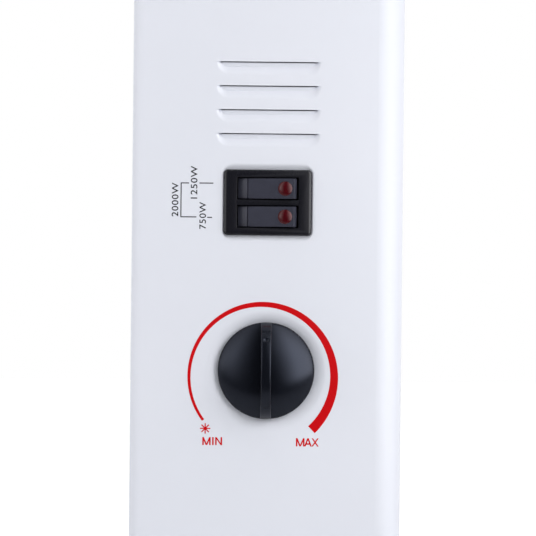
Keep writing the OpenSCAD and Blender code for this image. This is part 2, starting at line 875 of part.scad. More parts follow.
// Sprung ring, split on one side, that grips the hub
module knob_spring() {
  spring_h = 3.5;
  spring_t = 0.65;
  split = 2;
  color(bare_steel) on_end(0) translate([0, 0, -dish_in + hub_low + 0.4]) difference() {
    cylinder(h = spring_h, r = hub_r + screw_fit + spring_t);
    translate([0, 0, -cut]) cylinder(h = spring_h + 2 * cut, r = hub_r + screw_fit);
    translate([-hub_r - cut - spring_t, -split / 2, -cut]) cube([hub_r, split, spring_h + 2 * cut]);
  }
}

// Switch, measured from the floor of its recess
module on_switch() {
  on_end(switch_rise) translate([0, 0, -pan_in]) children();
}

module switch_housing() {
  snap = 0.7;
  snap_w = 8;
  snap_h = 3;
  snap_top = -sheet - 0.1;
  color(black_plastic) on_switch() difference() {
    union() {
      linear_extrude(bezel_t) centred_plate(bezel_h, bezel_w, bezel_r);
      translate([-housing_h / 2, -housing_w / 2, -housing_t]) cube([housing_h, housing_w, housing_t + eps]);
      for (turn = [0, 180]) rotate(turn)
        translate([-snap_w / 2, 0, 0]) rotate([90, 0, 90]) linear_extrude(snap_w)
          polygon([[housing_w / 2 - eps, snap_top], [housing_w / 2 + snap, snap_top],
            [housing_w / 2, snap_top - snap_h], [housing_w / 2 - eps, snap_top - snap_h]]);
    }
    for (row = rocker_rows)
      translate([row - rocker_gap_h / 2, -rocker_gap_l / 2, -housing_t + housing_floor])
        cube([rocker_gap_h, rocker_gap_l, housing_t + bezel_t]);
    pin_reach = rocker_pitch / 2 + rocker_h / 2 + pin_out + 0.1;
    translate([-pin_reach, 0, pivot_z]) rotate([0, 90, 0])
      cylinder(h = 2 * pin_reach, r = pin_d / 2 + pin_fit, $fn = 48);
  }
}

// Rocker about its pivot: round ends, a long face with the lens, a short pad past the crease
module rocker_section() {
  reach = rocker_r + cut;
  intersection() {
    circle(rocker_r, $fn = 128);
    polygon([[reach, crease_z - (reach - crease_off) * tan(pad_tilt)], [crease_off, crease_z],
      [-reach, crease_z + (reach + crease_off) * tan(face_tilt)],
      [-reach, -rocker_foot], [reach, -rocker_foot]]);
  }
}

module on_face(row) {
  on_switch() translate([row, -lens_off, pivot_z + crease_z + (lens_off + crease_off) * tan(face_tilt)])
    rotate([-face_tilt, 0, 0]) children();
}

lens_fit = 0.05;
lens_seat = 1.8;
lens_ledge = 0.8;

module rocker(row) {
  difference() {
    on_switch() translate([row, 0, pivot_z]) {
      rotate([90, 0, 90]) translate([0, 0, -rocker_h / 2]) linear_extrude(rocker_h) rocker_section();
      translate([-rocker_h / 2 - pin_out, 0, 0]) rotate([0, 90, 0])
        cylinder(h = rocker_h + 2 * pin_out, r = pin_d / 2, $fn = 48);
    }
    on_face(row) {
      translate([0, 0, -lens_seat]) cylinder(h = lens_seat + cut, r = lens_d / 2 + lens_fit, $fn = 64);
      translate([0, 0, -rocker_r]) cylinder(h = rocker_r, r = lens_d / 2 - lens_ledge, $fn = 48);
    }
  }
}

module lens(row) {
  r = lens_d / 2;
  ball = (r * r + lens_dome * lens_dome) / (2 * lens_dome);
  on_face(row) {
    translate([0, 0, lens_fit - lens_seat]) cylinder(h = lens_seat - lens_fit + eps, r = r, $fn = 64);
    intersection() {
      cylinder(h = lens_dome + cut, r = r, $fn = 64);
      translate([0, 0, lens_dome - ball]) sphere(ball, $fn = 64);
    }
  }
}

module rocker_1250w() { color(dark_plastic) rocker(rocker_rows[0]); }
module rocker_750w() { color(dark_plastic) rocker(rocker_rows[1]); }
module lens_1250w() { color(lens_red) lens(rocker_rows[0]); }
module lens_750w() { color(lens_red) lens(rocker_rows[1]); }

module neon_lamps() {
  color([0.90, 0.70, 0.55]) on_switch() for (row = rocker_rows)
    translate([row, -lens_off + 3.5, -housing_t + housing_floor + neon_r]) rotate([90, 0, 0])
      cylinder(h = 7, r = neon_r, $fn = 48);
}

switch_tab_w = 4.8;
switch_tab_ys = [-8, 0, 8];

module switch_terminals() {
  color(brass_tone) on_switch() for (row = rocker_rows, y = switch_tab_ys)
    translate([row - switch_tab_w / 2, y - tab_t / 2, -housing_t - tab_l]) cube([switch_tab_w, tab_t, tab_l]);
}

// Terminal block on the bottom plate: three ways with a screw at both ends of each
block_l = 18;
block_w = 34;
block_h = 15;
way_pitch = 10;
way_ys = [block_y - way_pitch, block_y, block_y + way_pitch];
way_bore = 2;
way_z = tray_top + 7;
block_screw_off = 5;
groove_w = 1.5;
groove_h = 5;

module terminal_block() {
  color(ceramic_tone) difference() {
    translate([block_x - block_l / 2, block_y - block_w / 2, tray_top]) cube([block_l, block_w, block_h]);
    for (y = way_ys) {
      translate([block_x - block_l / 2 - cut, y, way_z]) rotate([0, 90, 0])
        cylinder(h = block_l + 2 * cut, r = way_bore, $fn = 32);
      for (side = [-1, 1]) translate([block_x + side * block_screw_off, y, way_z])
        screw_hole(block_h);
    }
    for (y = [block_y - way_pitch / 2, block_y + way_pitch / 2])
      translate([block_x - block_l / 2 - cut, y - groove_w / 2, tray_top + block_h - groove_h])
        cube([block_l + 2 * cut, groove_w, groove_h + cut]);
  }
}

module terminal_screws() {
  color(brass_tone) for (y = way_ys, side = [-1, 1])
    translate([block_x + side * block_screw_off, y, way_z + 2.2]) difference() {
      cylinder(h = 4.5, r = screw_r, $fn = 32);
      translate([-screw_r - 1, -0.35, 4]) cube([2 * screw_r + 2, 0.7, 1]);
    }
}

// Earth screw with the collar that clamps its lead
earth_collar_r = 4.6;
earth_collar_t = 2.2;

module earth_screw() {
  color(brass_tone) translate([earth_x, earth_y, tray_top]) {
    translate([0, 0, earth_collar_t]) rotate([180, 0, 0]) screw(6, m4_r, 4, 2.4);
    difference() {
      cylinder(h = earth_collar_t - eps, r = earth_collar_r, $fn = 48);
      translate([0, 0, -cut]) cylinder(h = earth_collar_t + 2 * cut, r = m4_r + screw_fit, $fn = 32);
    }
  }
}

// Gland through the rear panel; its bore takes the supply cord
module gland_axis() {
  translate([x0 + gland_x, rear_y, zb + gland_up]) rotate([-90, 0, 0]) children();
}

module cable_gland() {
  collar_t = 4;
  color(black_plastic) gland_axis() difference() {
    union() {
      cylinder(h = collar_t, r = collar_d / 2);
      cylinder(h = gland_out, r = collar_d / 2 - 2);
      translate([0, 0, -gland_in - sheet]) cylinder(h = gland_in + sheet + eps, r = gland_d / 2);
    }
    translate([0, 0, -gland_in - sheet - cut])
      cylinder(h = gland_in + sheet + gland_out + 2 * cut, r = cord_bore_d / 2);
  }
}

module gland_nut() {
  nut_t = 5;
  color(black_plastic) gland_axis() translate([0, 0, -sheet - nut_t]) difference() {
    cylinder(h = nut_t, r = collar_d / 2, $fn = 6);
    translate([0, 0, -cut]) cylinder(h = nut_t + 2 * cut, r = gland_d / 2 + screw_fit);
  }
}

// Recessed hand-hold near the top of each end
handle_wall = 1.6;
handle_z = zt - handle_drop;
hollow_w = handle_w - 2 * handle_border;
hollow_h = handle_h - 2 * handle_border;
hollow_r = 3;

module handle_hole() {
  translate([x0, 0, handle_z]) rotate([0, 90, 0]) translate([0, 0, -cut]) linear_extrude(sheet + 2 * cut)
    centred_plate(hollow_h + 2 * (handle_wall + hole_fit), hollow_w + 2 * (handle_wall + hole_fit),
      hollow_r + handle_wall);
}

module handle() {
  color(black_plastic) translate([x0, 0, handle_z]) rotate([0, 90, 0]) difference() {
    union() {
      translate([0, 0, -handle_rim]) linear_extrude(handle_rim) centred_plate(handle_h, handle_w, 6);
      linear_extrude(handle_in + handle_wall)
        centred_plate(hollow_h + 2 * handle_wall, hollow_w + 2 * handle_wall, hollow_r + handle_wall);
    }
    translate([0, 0, -handle_rim - cut]) linear_extrude(handle_in + handle_rim + cut)
      centred_plate(hollow_h, hollow_w, hollow_r);
  }
}

module handle_control_end() { handle(); }
module handle_plain_end() { mirrored_end() handle(); }

// Foot: an arched beam under the casing
foot_top_half = case_d / 2 - 3;
toe_h = 14;
arch_half = foot_l / 2 - 26;
arch_r = (arch_half * arch_half + (arch_h - pad_out) * (arch_h - pad_out)) / (2 * (arch_h - pad_out));
toe_y = foot_l / 2 - 13;
foot_screw_seat = 5;

// Half of a foot's outline, from the toe's underside to the casing
foot_edge = [[foot_l / 2, pad_out], [foot_l / 2, toe_h - 4], [foot_l / 2 - 4, toe_h],
  [foot_l / 2 - 22, toe_h + 6], [foot_top_half + 6, zb - 8], [foot_top_half, zb]];

module foot() {
  color(black_plastic) difference() {
    along_x(foot_x - foot_w / 2, foot_w) difference() {
      polygon([for (side = [-1, 1], p = side < 0 ? foot_edge : [for (i = [5:-1:0]) foot_edge[i]])
        [side * p.x, p.y]]);
      translate([0, arch_h - arch_r]) circle(arch_r, $fn = 192);
    }
    for (side = [-1, 1]) {
      translate([foot_x, side * foot_screw_y, 0]) {
        cylinder(h = zb + cut, r = m4_r + 0.3, $fn = 32);
        cylinder(h = zb - foot_screw_seat, r = 5.5, $fn = 48);
      }
      translate([foot_x, side * toe_y, 0]) cylinder(h = 2 * pad_out + 0.1, r = pad_r + 0.1, $fn = 48);
    }
  }
}

module foot_control_end() { foot(); }
module foot_plain_end() { mirrored_end() foot(); }

module foot_pads() {
  color([0.10, 0.10, 0.10]) both_ends() for (side = [-1, 1])
    translate([foot_x, side * toe_y, 0]) cylinder(h = 2 * pad_out, r = pad_r, $fn = 48);
}

module foot_screws() {
  color(zinc) both_ends() for (side = [-1, 1])
    translate([foot_x, side * foot_screw_y, zb - foot_screw_seat]) screw(foot_screw_seat + 6, m4_r, 4.4, 2.4);
}

module case_screws() {
  color(zinc) both_ends() for (z = screw_zs)
    translate([screw_x, rear_y, z]) rotate([90, 0, 0]) screw(7, screw_r, head_r, head_t);
}

module base_screws() {
  color(zinc) at_base_screws() screw(6, screw_r, head_r, head_t);
  color(zinc) at_flange_screws() screw(6, screw_r, head_r, head_t);
}

// Insulated leads: round tubes along smooth curves through points chosen by hand
curve_steps = 3;
tube_sides = 8;

function unit(v) = v / norm(v);

function curve_point(p, i, t) =
  let (a = p[max(i - 1, 0)], b = p[i], c = p[i + 1], d = p[min(i + 2, len(p) - 1)])
  0.5 * (2 * b + (c - a) * t + (2 * a - 5 * b + 4 * c - d) * t * t + (3 * b - a - 3 * c + d) * t * t * t);

function curve(p) = concat(
  [for (i = [0:len(p) - 2], s = [0:curve_steps - 1]) curve_point(p, i, s / curve_steps)],
  [p[len(p) - 1]]);

// One direction across the tube for each ring, carried along the curve without twist
function across(d, i, n) =
  i >= len(d) ? [] : let (m = unit(n - (n * d[i]) * d[i])) concat([m], across(d, i + 1, m));

module lead(p, r) {
  path = curve(p);
  last = len(path) - 1;
  d = [for (i = [0:last]) unit(path[min(i + 1, last)] - path[max(i - 1, 0)])];
  n = across(d, 0, [0.1, 0.7, 0.7]);
  rings = [for (i = [0:last], s = [0:tube_sides - 1])
    let (a = 360 * s / tube_sides) path[i] + r * (cos(a) * n[i] + sin(a) * cross(d[i], n[i]))];
  sides = [for (i = [0:last - 1], s = [0:tube_sides - 1], half = [0, 1])
    let (a = i * tube_sides + s, b = i * tube_sides + (s + 1) % tube_sides)
    half == 0 ? [a, a + tube_sides, b + tube_sides] : [a, b + tube_sides, b]];
  first_cap = [for (s = [0:tube_sides - 1]) s];
  last_cap = [for (s = [tube_sides - 1:-1:0]) last * tube_sides + s];
  polyhedron(points = rings, faces = concat([first_cap], sides, [last_cap]));
}

// Points of a lead: distance from the end face, place from front to back, height above the casing's edge
function inside(p) = [for (q = p) [x0 + q.x, q.y, zb + q.z]];

thin_r = 0.8;
lead_gap = 0.2;
block_face = block_x + block_l / 2 - x0 + lead_gap;
block_rear = block_x - block_l / 2 - x0 - lead_gap;
way_up = way_z - zb;
stat_tab = -stat_back + tab_l + lead_gap;
switch_tab = pan_in + housing_t + tab_l + lead_gap;
switch_up = knob_up + switch_rise;
rod_tab = compartment - rod_tail - tab_l - lead_gap;
cutout_tab = compartment - cutout_back - tab_l - lead_gap;
upper_row = switch_up + rocker_pitch / 2;
lower_row = switch_up - rocker_pitch / 2;
element_ups = [low_element_up, low_element_up + element_step];

module live_leads() {
  color([0.55, 0.27, 0.12]) {
    lead(inside([[block_face, way_ys[2], way_up], [36, 16, 9], [38.5, 17, 17], [39, 17, 35], [38, 15, 58],
      [36, 10, 78], [34, 3, 91], [32, 0, knob_up - stat_tab_x],
      [stat_tab, 0, knob_up - stat_tab_x]]), lead_r);
    lead(inside([[stat_tab, 1.6, knob_up + stat_tab_x], [31.5, 2, 113.5], [34, 5, 120], [34.5, 7.5, 133],
      [33, 8, 147], [30.5, 8, 158], [28.5, 8, lower_row], [switch_tab, 8, lower_row]]), lead_r);
    lead(inside([[stat_tab, -1.6, knob_up + stat_tab_x], [32.5, -1.5, 113.5], [37.5, 1.5, 122],
      [40, 6.5, 138], [40, 10, 155], [35.5, 10.5, 167], [30, 8.5, upper_row],
      [switch_tab, 8, upper_row]]), lead_r);
  }
}

module load_leads() {
  color([0.72, 0.70, 0.66]) {
    lead(inside([[switch_tab, 0, upper_row], [30, 0, upper_row], [37, -3, 166], [42.5, -6, 152],
      [45, -8, 130], [45, -9, 108], [43.5, -9, 84], [41, -8, 64], [36.5, -2, 51], [34, 2, 44], [36, 2, 40.4],
      [rod_tab, tab_offset, element_ups[0]]]), lead_r);
    lead(inside([[switch_tab, 0, lower_row], [29.5, -0.5, 160.5], [33, -3.5, 152], [35.5, -6, 136],
      [36.5, -7, 118], [36, -5, 99], [33.5, -0.5, 88], [35.5, 2, 84.4],
      [rod_tab, tab_offset, element_ups[1]]]), lead_r);
  }
}

module neutral_leads() {
  color([0.20, 0.36, 0.62]) {
    lead(inside([[block_face, way_ys[1], way_up], [36, 6.5, 9], [42, 9, 17], [46, 14, 38], [47, 18, 70],
      [47, 18, 100], [46, 16, 130], [43, 12, 158], [42, 6.5, 171],
      [44.5, cutout_tab_off + 0.1, cutout_up], [cutout_tab, cutout_tab_off, cutout_up]]), lead_r);
    lead(inside([[cutout_tab, -cutout_tab_off, cutout_up], [44.5, -cutout_tab_off - 0.1, cutout_up],
      [43, -9, 171],
      [46.5, -16, 152], [49.5, -18, 120], [50, -17, 88], [49, -15, 58], [45, -14, 38], [38.5, -11, 31],
      [34.5, -6, 34], [35.5, -2.5, 38.2], [rod_tab, -tab_offset, element_ups[0] - 1.6]]), lead_r);
    lead(inside([[rod_tab, -tab_offset, element_ups[0] + 1.6], [36, -2.3, 42], [32, -5, 48], [30, -7, 59],
      [31, -6, 73], [33.5, -3, 81.5], [36, -2.1, 83.9], [rod_tab, -tab_offset, element_ups[1]]]), lead_r);
    lead(inside([[switch_tab, -8, upper_row], [29.5, -8, upper_row - 0.3], [31.5, -8.3, switch_up],
      [29.5, -8, lower_row + 1.4], [switch_tab, -8, lower_row + 1.2]]), thin_r);
    lead(inside([[switch_tab, -8, lower_row - 1.2], [28.5, -8.5, lower_row - 1.8], [30, -12, 148],
      [28.5, -16, 118], [26, -18, 88], [20, -15, 56], [11, -7, 28], [7.5, 1, 13], [9, 5.5, 8.8],
      [block_rear, way_ys[1], way_up]]), thin_r);
  }
}

module earth_lead() {
  color([0.45, 0.62, 0.20])
    lead(inside([[block_face, way_ys[0], way_up], [35.5, -4.5, 8.2], [38, -9.5, 5.5], [36, -18, 3.6],
      [30, -25, 2.95], [earth_x - x0 + earth_collar_r + lead_gap, earth_y, 2.95]]), lead_r);
}

control_end_panel();
plain_end_panel();
front_panel();
rear_panel();
top_grille();
bottom_plate();
bulkhead();
element_bracket();
heat_deflector();
fins_1250w();
fins_750w();
rod_1250w();
rod_750w();
element_bushes();
element_terminals();
thermal_cutout();
cutout_screws();
thermostat_plate();
thermostat_body();
thermostat_blade();
thermostat_terminals();
thermostat_screws();
thermostat_shaft();
control_knob();
knob_spring();
switch_housing();
rocker_1250w();
rocker_750w();
lens_1250w();
lens_750w();
neon_lamps();
switch_terminals();
terminal_block();
terminal_screws();
earth_screw();
cable_gland();
gland_nut();
handle_control_end();
handle_plain_end();
foot_control_end();
foot_plain_end();
foot_pads();
foot_screws();
case_screws();
base_screws();
live_leads();
load_leads();
neutral_leads();
earth_lead();
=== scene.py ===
# %% [markdown]
# # A convector heater, dressed piece by piece
# The construction of this heater, its sizes and its joints come in as a fixed frame of named pieces.
# This notebook gives every piece its finish, and remakes those whose soft pressings, fillets and
# mouldings the frame only holds in plain form. The close view is of the control end: a twin rocker
# switch over a thermostat knob, on a sheet of white powder coated steel.

# %% Load the frame
import json
import math

import bmesh
import bpy
from mathutils import Matrix, Vector


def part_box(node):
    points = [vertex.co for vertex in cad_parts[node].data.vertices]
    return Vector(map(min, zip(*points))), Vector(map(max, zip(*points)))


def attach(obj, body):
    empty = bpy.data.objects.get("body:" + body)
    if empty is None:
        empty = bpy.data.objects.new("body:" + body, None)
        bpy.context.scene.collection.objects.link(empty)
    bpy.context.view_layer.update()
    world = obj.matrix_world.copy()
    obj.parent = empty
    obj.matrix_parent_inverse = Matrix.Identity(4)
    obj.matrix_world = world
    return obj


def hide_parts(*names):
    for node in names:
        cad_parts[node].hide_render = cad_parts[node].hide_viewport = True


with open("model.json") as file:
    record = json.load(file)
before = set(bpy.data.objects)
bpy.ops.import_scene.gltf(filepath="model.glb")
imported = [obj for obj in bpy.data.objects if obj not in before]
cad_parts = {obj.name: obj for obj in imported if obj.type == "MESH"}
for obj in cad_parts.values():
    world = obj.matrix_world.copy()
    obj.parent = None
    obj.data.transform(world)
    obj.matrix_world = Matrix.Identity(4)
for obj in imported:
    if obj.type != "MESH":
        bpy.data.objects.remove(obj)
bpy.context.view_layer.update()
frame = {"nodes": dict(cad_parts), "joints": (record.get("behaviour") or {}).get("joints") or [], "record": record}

# %% [markdown]
# ## Where things are
# Everything on the control end is easiest to model lying flat: X to the right of the picture, Y up,
# and Z out of the sheet, in millimetres, with the knob's axis at zero. One matrix then stands a
# finished piece up on the heater and turns millimetres into metres. Each other side has its own matrix.

# %% The sides and their frames
MM = 0.001
NEAR = 0.01
shell_low, shell_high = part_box("control_end_panel")
end_x = shell_low.x
far_end_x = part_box("plain_end_panel")[1].x
rear_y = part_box("rear_panel")[1].y
mid_x = (end_x + far_end_x) / 2
knob_z = next(joint["pos_m"][2] for joint in frame["joints"] if joint["name"] == "thermostat_turn")
case_low = (shell_low.z - knob_z) / MM
case_high = (shell_high.z - knob_z) / MM
case_half = -shell_low.y / MM


def face_frame(right, up, out, origin):
    """A matrix from a side's own millimetres to the heater's metres."""
    facing = Matrix((right, up, out)).transposed().to_4x4()
    return Matrix.Translation(origin) @ facing @ Matrix.Scale(MM, 4)


CONTROL_FACE = face_frame((0, -1, 0), (0, 0, 1), (-1, 0, 0), (end_x, 0, knob_z))
PLAIN_FACE = face_frame((0, 1, 0), (0, 0, 1), (1, 0, 0), (far_end_x, 0, knob_z))
FRONT_FACE = face_frame((1, 0, 0), (0, 0, 1), (0, -1, 0), (mid_x, shell_low.y, 0))
REAR_FACE = face_frame((-1, 0, 0), (0, 0, 1), (0, 1, 0), (mid_x, rear_y, 0))
UPRIGHT = face_frame((1, 0, 0), (0, 1, 0), (0, 0, 1), (mid_x, 0, 0))
print("case from", round(case_low), "to", round(case_high), "about the knob's axis")

# %% [markdown]
# ## Camera
# The photograph looks almost square on at the control end, from far enough away that the ends of the
# casing hide its sides. So the camera stands back with a long lens, and it is rolled by a little over
# half a degree, because the photograph is too.

# %% Camera
PHOTO_PX = 536
PX_PER_MM = 2.75
CAMERA_BACK = 1200
ROLL = math.radians(0.6)
AIM = Vector((0.34, 37.35, 0))

bpy.ops.object.camera_add()
camera = bpy.context.object
camera.name = "camera"
camera.data.sensor_width = 36
camera.data.sensor_fit = "HORIZONTAL"
camera.data.lens = camera.data.sensor_width * CAMERA_BACK / (PHOTO_PX / PX_PER_MM)
camera.data.clip_start = 0.01
axes = CONTROL_FACE.to_3x3() * (1 / MM)
camera_turn = (axes @ Matrix.Rotation(ROLL, 3, "Z")).to_4x4()
camera.matrix_world = Matrix.Translation(CONTROL_FACE @ (AIM + Vector((0, 0, CAMERA_BACK)))) @ camera_turn
bpy.context.scene.camera = camera
bpy.context.scene.view_settings.view_transform = "Standard"
print("lens", round(camera.data.lens), "mm")

# %% [markdown]
# ## Finishes
# Each finish is built from what the real one is. Colours are written as they look on screen, and one
# function turns them to the linear values that the shader works in. Patterns are sized in millimetres
# and read the piece's own coordinates, so they stay put in every pose and from every side.

# %% Colour and node helpers
def linear(hex_colour):
    """An sRGB hex colour as linear values."""
    parts = [int(hex_colour[i:i + 2], 16) / 255 for i in (1, 3, 5)]
    return tuple(p / 12.92 if p <= 0.04045 else ((p + 0.055) / 1.055) ** 2.4 for p in parts) + (1.0,)


def add_node(tree, kind, inputs, **settings):
    """Adds a node. Inputs are plain values, or outputs of other nodes to link."""
    made = tree.nodes.new(kind)
    for name, value in settings.items():
        setattr(made, name, value)
    for socket, value in inputs.items():
        if isinstance(value, bpy.types.NodeSocket):
            tree.links.new(value, made.inputs[socket])
        else:
            made.inputs[socket].default_value = value
    return made


# %% [markdown]
# No moulded or rolled surface is one even colour. So each finish drifts between two close tones in
# patches, and a fine grain gives it its relief and moves its gloss a little.

# %% Building a finish
finishes = {}


def surface(slot, name, light, dark, patch, roughness, grain, depth, stretch=(1, 1, 1), **shader):
    """Builds the finish of a material slot, between a light and a dark tone. Patch, grain and depth are
    in millimetres, and roughness is its lowest and highest value."""
    made = bpy.data.materials.new(name)
    made.use_nodes = True
    tree = made.node_tree
    principled = tree.nodes["Principled BSDF"]
    for socket, value in shader.items():
        principled.inputs[socket.replace("_", " ")].default_value = value
    place = add_node(tree, "ShaderNodeTexCoord", {})
    drawn = add_node(tree, "ShaderNodeMapping", {"Vector": place.outputs["Object"], "Scale": stretch})
    drift = add_node(tree, "ShaderNodeTexNoise",
                     {"Vector": drawn.outputs[0], "Scale": 1 / (patch * MM), "Detail": 3.0})
    tone = add_node(tree, "ShaderNodeMix",
                    {0: drift.outputs[0], 6: linear(dark), 7: linear(light)}, data_type="RGBA")
    fine = add_node(tree, "ShaderNodeTexNoise",
                    {"Vector": drawn.outputs[0], "Scale": 1 / (grain * MM), "Detail": 2.0})
    gloss = add_node(tree, "ShaderNodeMapRange",
                     {"Value": fine.outputs[0], "From Min": 0.3, "From Max": 0.7,
                      "To Min": roughness[0], "To Max": roughness[1]})
    relief = add_node(tree, "ShaderNodeBump",
                      {"Height": fine.outputs[0], "Strength": 1.0, "Distance": depth * MM})
    for socket, source in (("Base Color", tone.outputs[2]), ("Roughness", gloss.outputs[0]),
                           ("Normal", relief.outputs[0])):
        tree.links.new(source, principled.inputs[socket])
    finishes[slot] = made
    print("finish", name)


# %% [markdown]
# The casing is mild steel with a polyester powder coat. The powder melts into a smooth semi-gloss film
# with a faint orange peel, about a millimetre and a half from crest to crest and some microns deep.

# %% Powder coat
surface("painted_sheet", "white_powder_coat", "#E6E8F1", "#E2E5EE", 60, (0.36, 0.42), 1.6, 0.006,
        Specular_IOR_Level=0.15)

# %% [markdown]
# The knob is ABS from a polished mould: nearly black with a blue cast, and glossy. The bezel, handles
# and feet are the same plastic from a finely spark eroded mould, so they spread the light. The rockers
# are a dark grey nylon, a touch lighter than the bezel, and the lenses clear red polycarbonate.

# %% Moulded plastics
surface("gloss_black", "polished_black_abs", "#12141B", "#101218", 8, (0.2, 0.24), 0.6, 0.002,
        Specular_IOR_Level=0.2, Specular_Tint=linear("#D8E2FF"))
surface("satin_black", "satin_black_abs", "#18181F", "#14141A", 10, (0.24, 0.3), 0.35, 0.006,
        Specular_IOR_Level=0.25)
surface("rocker_grey", "rocker_grey_nylon", "#3D3E4B", "#343540", 5, (0.28, 0.34), 0.4, 0.004,
        Specular_IOR_Level=0.22)
surface("red_lens", "red_polycarbonate", "#4E0B14", "#400810", 3, (0.14, 0.18), 0.8, 0.001,
        Specular_IOR_Level=0.2)
surface("phenolic", "brown_phenolic", "#3A2E27", "#2E241E", 4, (0.45, 0.6), 0.5, 0.01)
surface("pad_rubber", "grey_rubber", "#26262A", "#1D1D20", 3, (0.7, 0.85), 0.5, 0.02)

# %% [markdown]
# Bare metals keep the shader's own index of refraction. The mill's rollers leave fine streaks along
# drawn aluminium and tube, and hot dip zinc freezes in pale and dark grains.

# %% Bare metals
ALONG_X = (0.05, 1, 1)
surface("galvanised_sheet", "galvanised_steel", "#C4C7CA", "#A9ADB1", 9, (0.38, 0.55), 2.5, 0.01,
        Metallic=1.0)
surface("zinc_plate", "bright_zinc_plate", "#CDD0D3", "#B9BCC0", 3, (0.22, 0.34), 0.5, 0.004, Metallic=1.0)
surface("bare_aluminium", "mill_aluminium", "#CDCFD1", "#BCBFC2", 6, (0.32, 0.46), 0.5, 0.006, ALONG_X,
        Metallic=1.0)
surface("rod_steel", "drawn_stainless_tube", "#A9ABAD", "#94969A", 5, (0.26, 0.4), 0.4, 0.005, ALONG_X,
        Metallic=1.0)
surface("contact_brass", "stamped_brass", "#C9A95E", "#B3924B", 4, (0.24, 0.36), 0.5, 0.004, Metallic=1.0)

# %% [markdown]
# The rest is small: unglazed steatite for what sits on hot metal, glass for the neon lamps, and leads
# with silicone or woven glass round them.

# %% Ceramics, glass and leads
surface("bush_ceramic", "unglazed_steatite", "#EDE8DC", "#E2DCCE", 5, (0.6, 0.75), 0.6, 0.01)
surface("lamp_glass", "clear_lamp_glass", "#F2E6DC", "#EBDDD2", 3, (0.04, 0.06), 1.0, 0.001,
        Transmission_Weight=0.9)
surface("white_insulation", "woven_glass_sleeve", "#C4BFB4", "#A8A297", 1.2, (0.6, 0.75), 0.4, 0.05)
for colour, light, dark in (("brown", "#8A4A24", "#7C411E"), ("blue", "#39609A", "#31568C"),
                            ("green", "#7BA33C", "#6E9433")):
    surface(f"{colour}_insulation", f"{colour}_silicone", light, dark, 4, (0.45, 0.55), 0.6, 0.006)
for subpart in frame["record"]["subparts"]:
    node = frame["nodes"][subpart["node"]]
    node.data.materials.clear()
    node.data.materials.append(finishes[subpart["material_slot"]])
print(len(finishes), "finishes on", len(frame["nodes"]), "pieces of the frame")

# %% [markdown]
# ## Small tools
# An operator acts on all that is selected, so each step starts with nothing selected. Faces and edges
# are then picked by where they lie, as one would by eye.

# %% Selecting
def clear():
    """Leaves edit mode and deselects everything."""
    if bpy.context.object and bpy.context.object.mode != "OBJECT":
        bpy.ops.object.mode_set(mode="OBJECT")
    bpy.ops.object.select_all(action="DESELECT")


def hold(piece):
    """Makes a piece the only selected object and the active one."""
    clear()
    piece.select_set(True)
    bpy.context.view_layer.objects.active = piece


def edit(piece):
    """Opens a piece in edit mode with nothing selected."""
    hold(piece)
    bpy.ops.object.mode_set(mode="EDIT")
    bpy.ops.mesh.select_all(action="DESELECT")


def pick(kind, test):
    """In edit mode, selects just the vertices, edges or faces that pass the test."""
    bpy.ops.mesh.select_mode(type=kind)
    bpy.ops.mesh.select_all(action="DESELECT")
    data = bpy.context.object.data
    mesh = bmesh.from_edit_mesh(data)
    for item in {"VERT": mesh.verts, "EDGE": mesh.edges, "FACE": mesh.faces}[kind]:
        if test(item):
            item.select_set(True)
    mesh.select_flush_mode()
    bmesh.update_edit_mesh(data)


def all_at(test):
    """A test of an edge or face: all its corners pass the test of a point."""
    return lambda item: all(test(v.co) for v in item.verts)


# %% [markdown]
# A finished piece sits at the origin, unturned and unscaled, with its place in its mesh. It is shaded
# smooth up to an angle, and then rides on one of the heater's four bodies.

# %% Applying and handing over
def modify(piece, kind, **settings):
    """Adds a modifier to a piece and applies it."""
    hold(piece)
    bpy.ops.object.modifier_add(type=kind)
    modifier = piece.modifiers[-1]
    for name, value in settings.items():
        setattr(modifier, name, value)
    bpy.ops.object.modifier_apply(modifier=modifier.name)


def settled():
    """The active piece, once its place, turn and scale are applied to its mesh."""
    bpy.ops.object.transform_apply(location=True, rotation=True, scale=True)
    return bpy.context.object


def deliver(piece, name, slot, place, node=None, body="heater", finish=None, smooth=30):
    """Places a finished piece, shades it, gives it its finish and hands it to its body."""
    hold(piece)
    piece.name = name
    piece.data.name = name
    piece.matrix_world = place @ piece.matrix_world
    settled()
    bpy.ops.object.shade_smooth_by_angle(angle=math.radians(smooth))
    piece.data.materials.clear()
    piece.data.materials.append(finishes[finish or slot])
    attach(piece, body)
    if node:
        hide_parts(node)
    print(name, len(piece.data.polygons), "faces")


# %% [markdown]
# ## The control end's steel shell
# The real shell is one blank: its face, louvres, dish and switch recess are pressed in a die, and its
# edges are folded over. A boolean would leave knife edges, so the pressings are made the way a die
# makes them: an outline on the flat face is inset in many small steps, and each step sinks a little
# more, along a soft curve. The flat sheet between the outlines is then filled in, and a Solidify gives
# the steel its thickness. A narrow flat ring round each outline keeps the shading of the sheet flat.

# %% Shell sizes and blank
SHEET = 0.8
WRAP = (shell_high.x - shell_low.x) / MM
FRONT_BEND = 9.4
REAR_BEND = 4
END_BEND = 5
RING = 0.5


def block(size, at):
    """A cube primitive at its real size, its scale applied."""
    clear()
    bpy.ops.mesh.primitive_cube_add(size=1, location=at, scale=size)
    return settled()


def fold(a, b, front):
    """The radius of a shell's edge, from where its two ends lie."""
    at_top = min(a.y, b.y) > case_high - NEAR
    at_face = min(a.z, b.z) > -NEAR
    if at_top and at_face:
        return END_BEND
    for side, radius in ((front, FRONT_BEND), (-front, REAR_BEND)):
        at_side = min(a.x * side, b.x * side) > case_half - NEAR
        if at_side and (at_top or at_face):
            return radius
    return 0


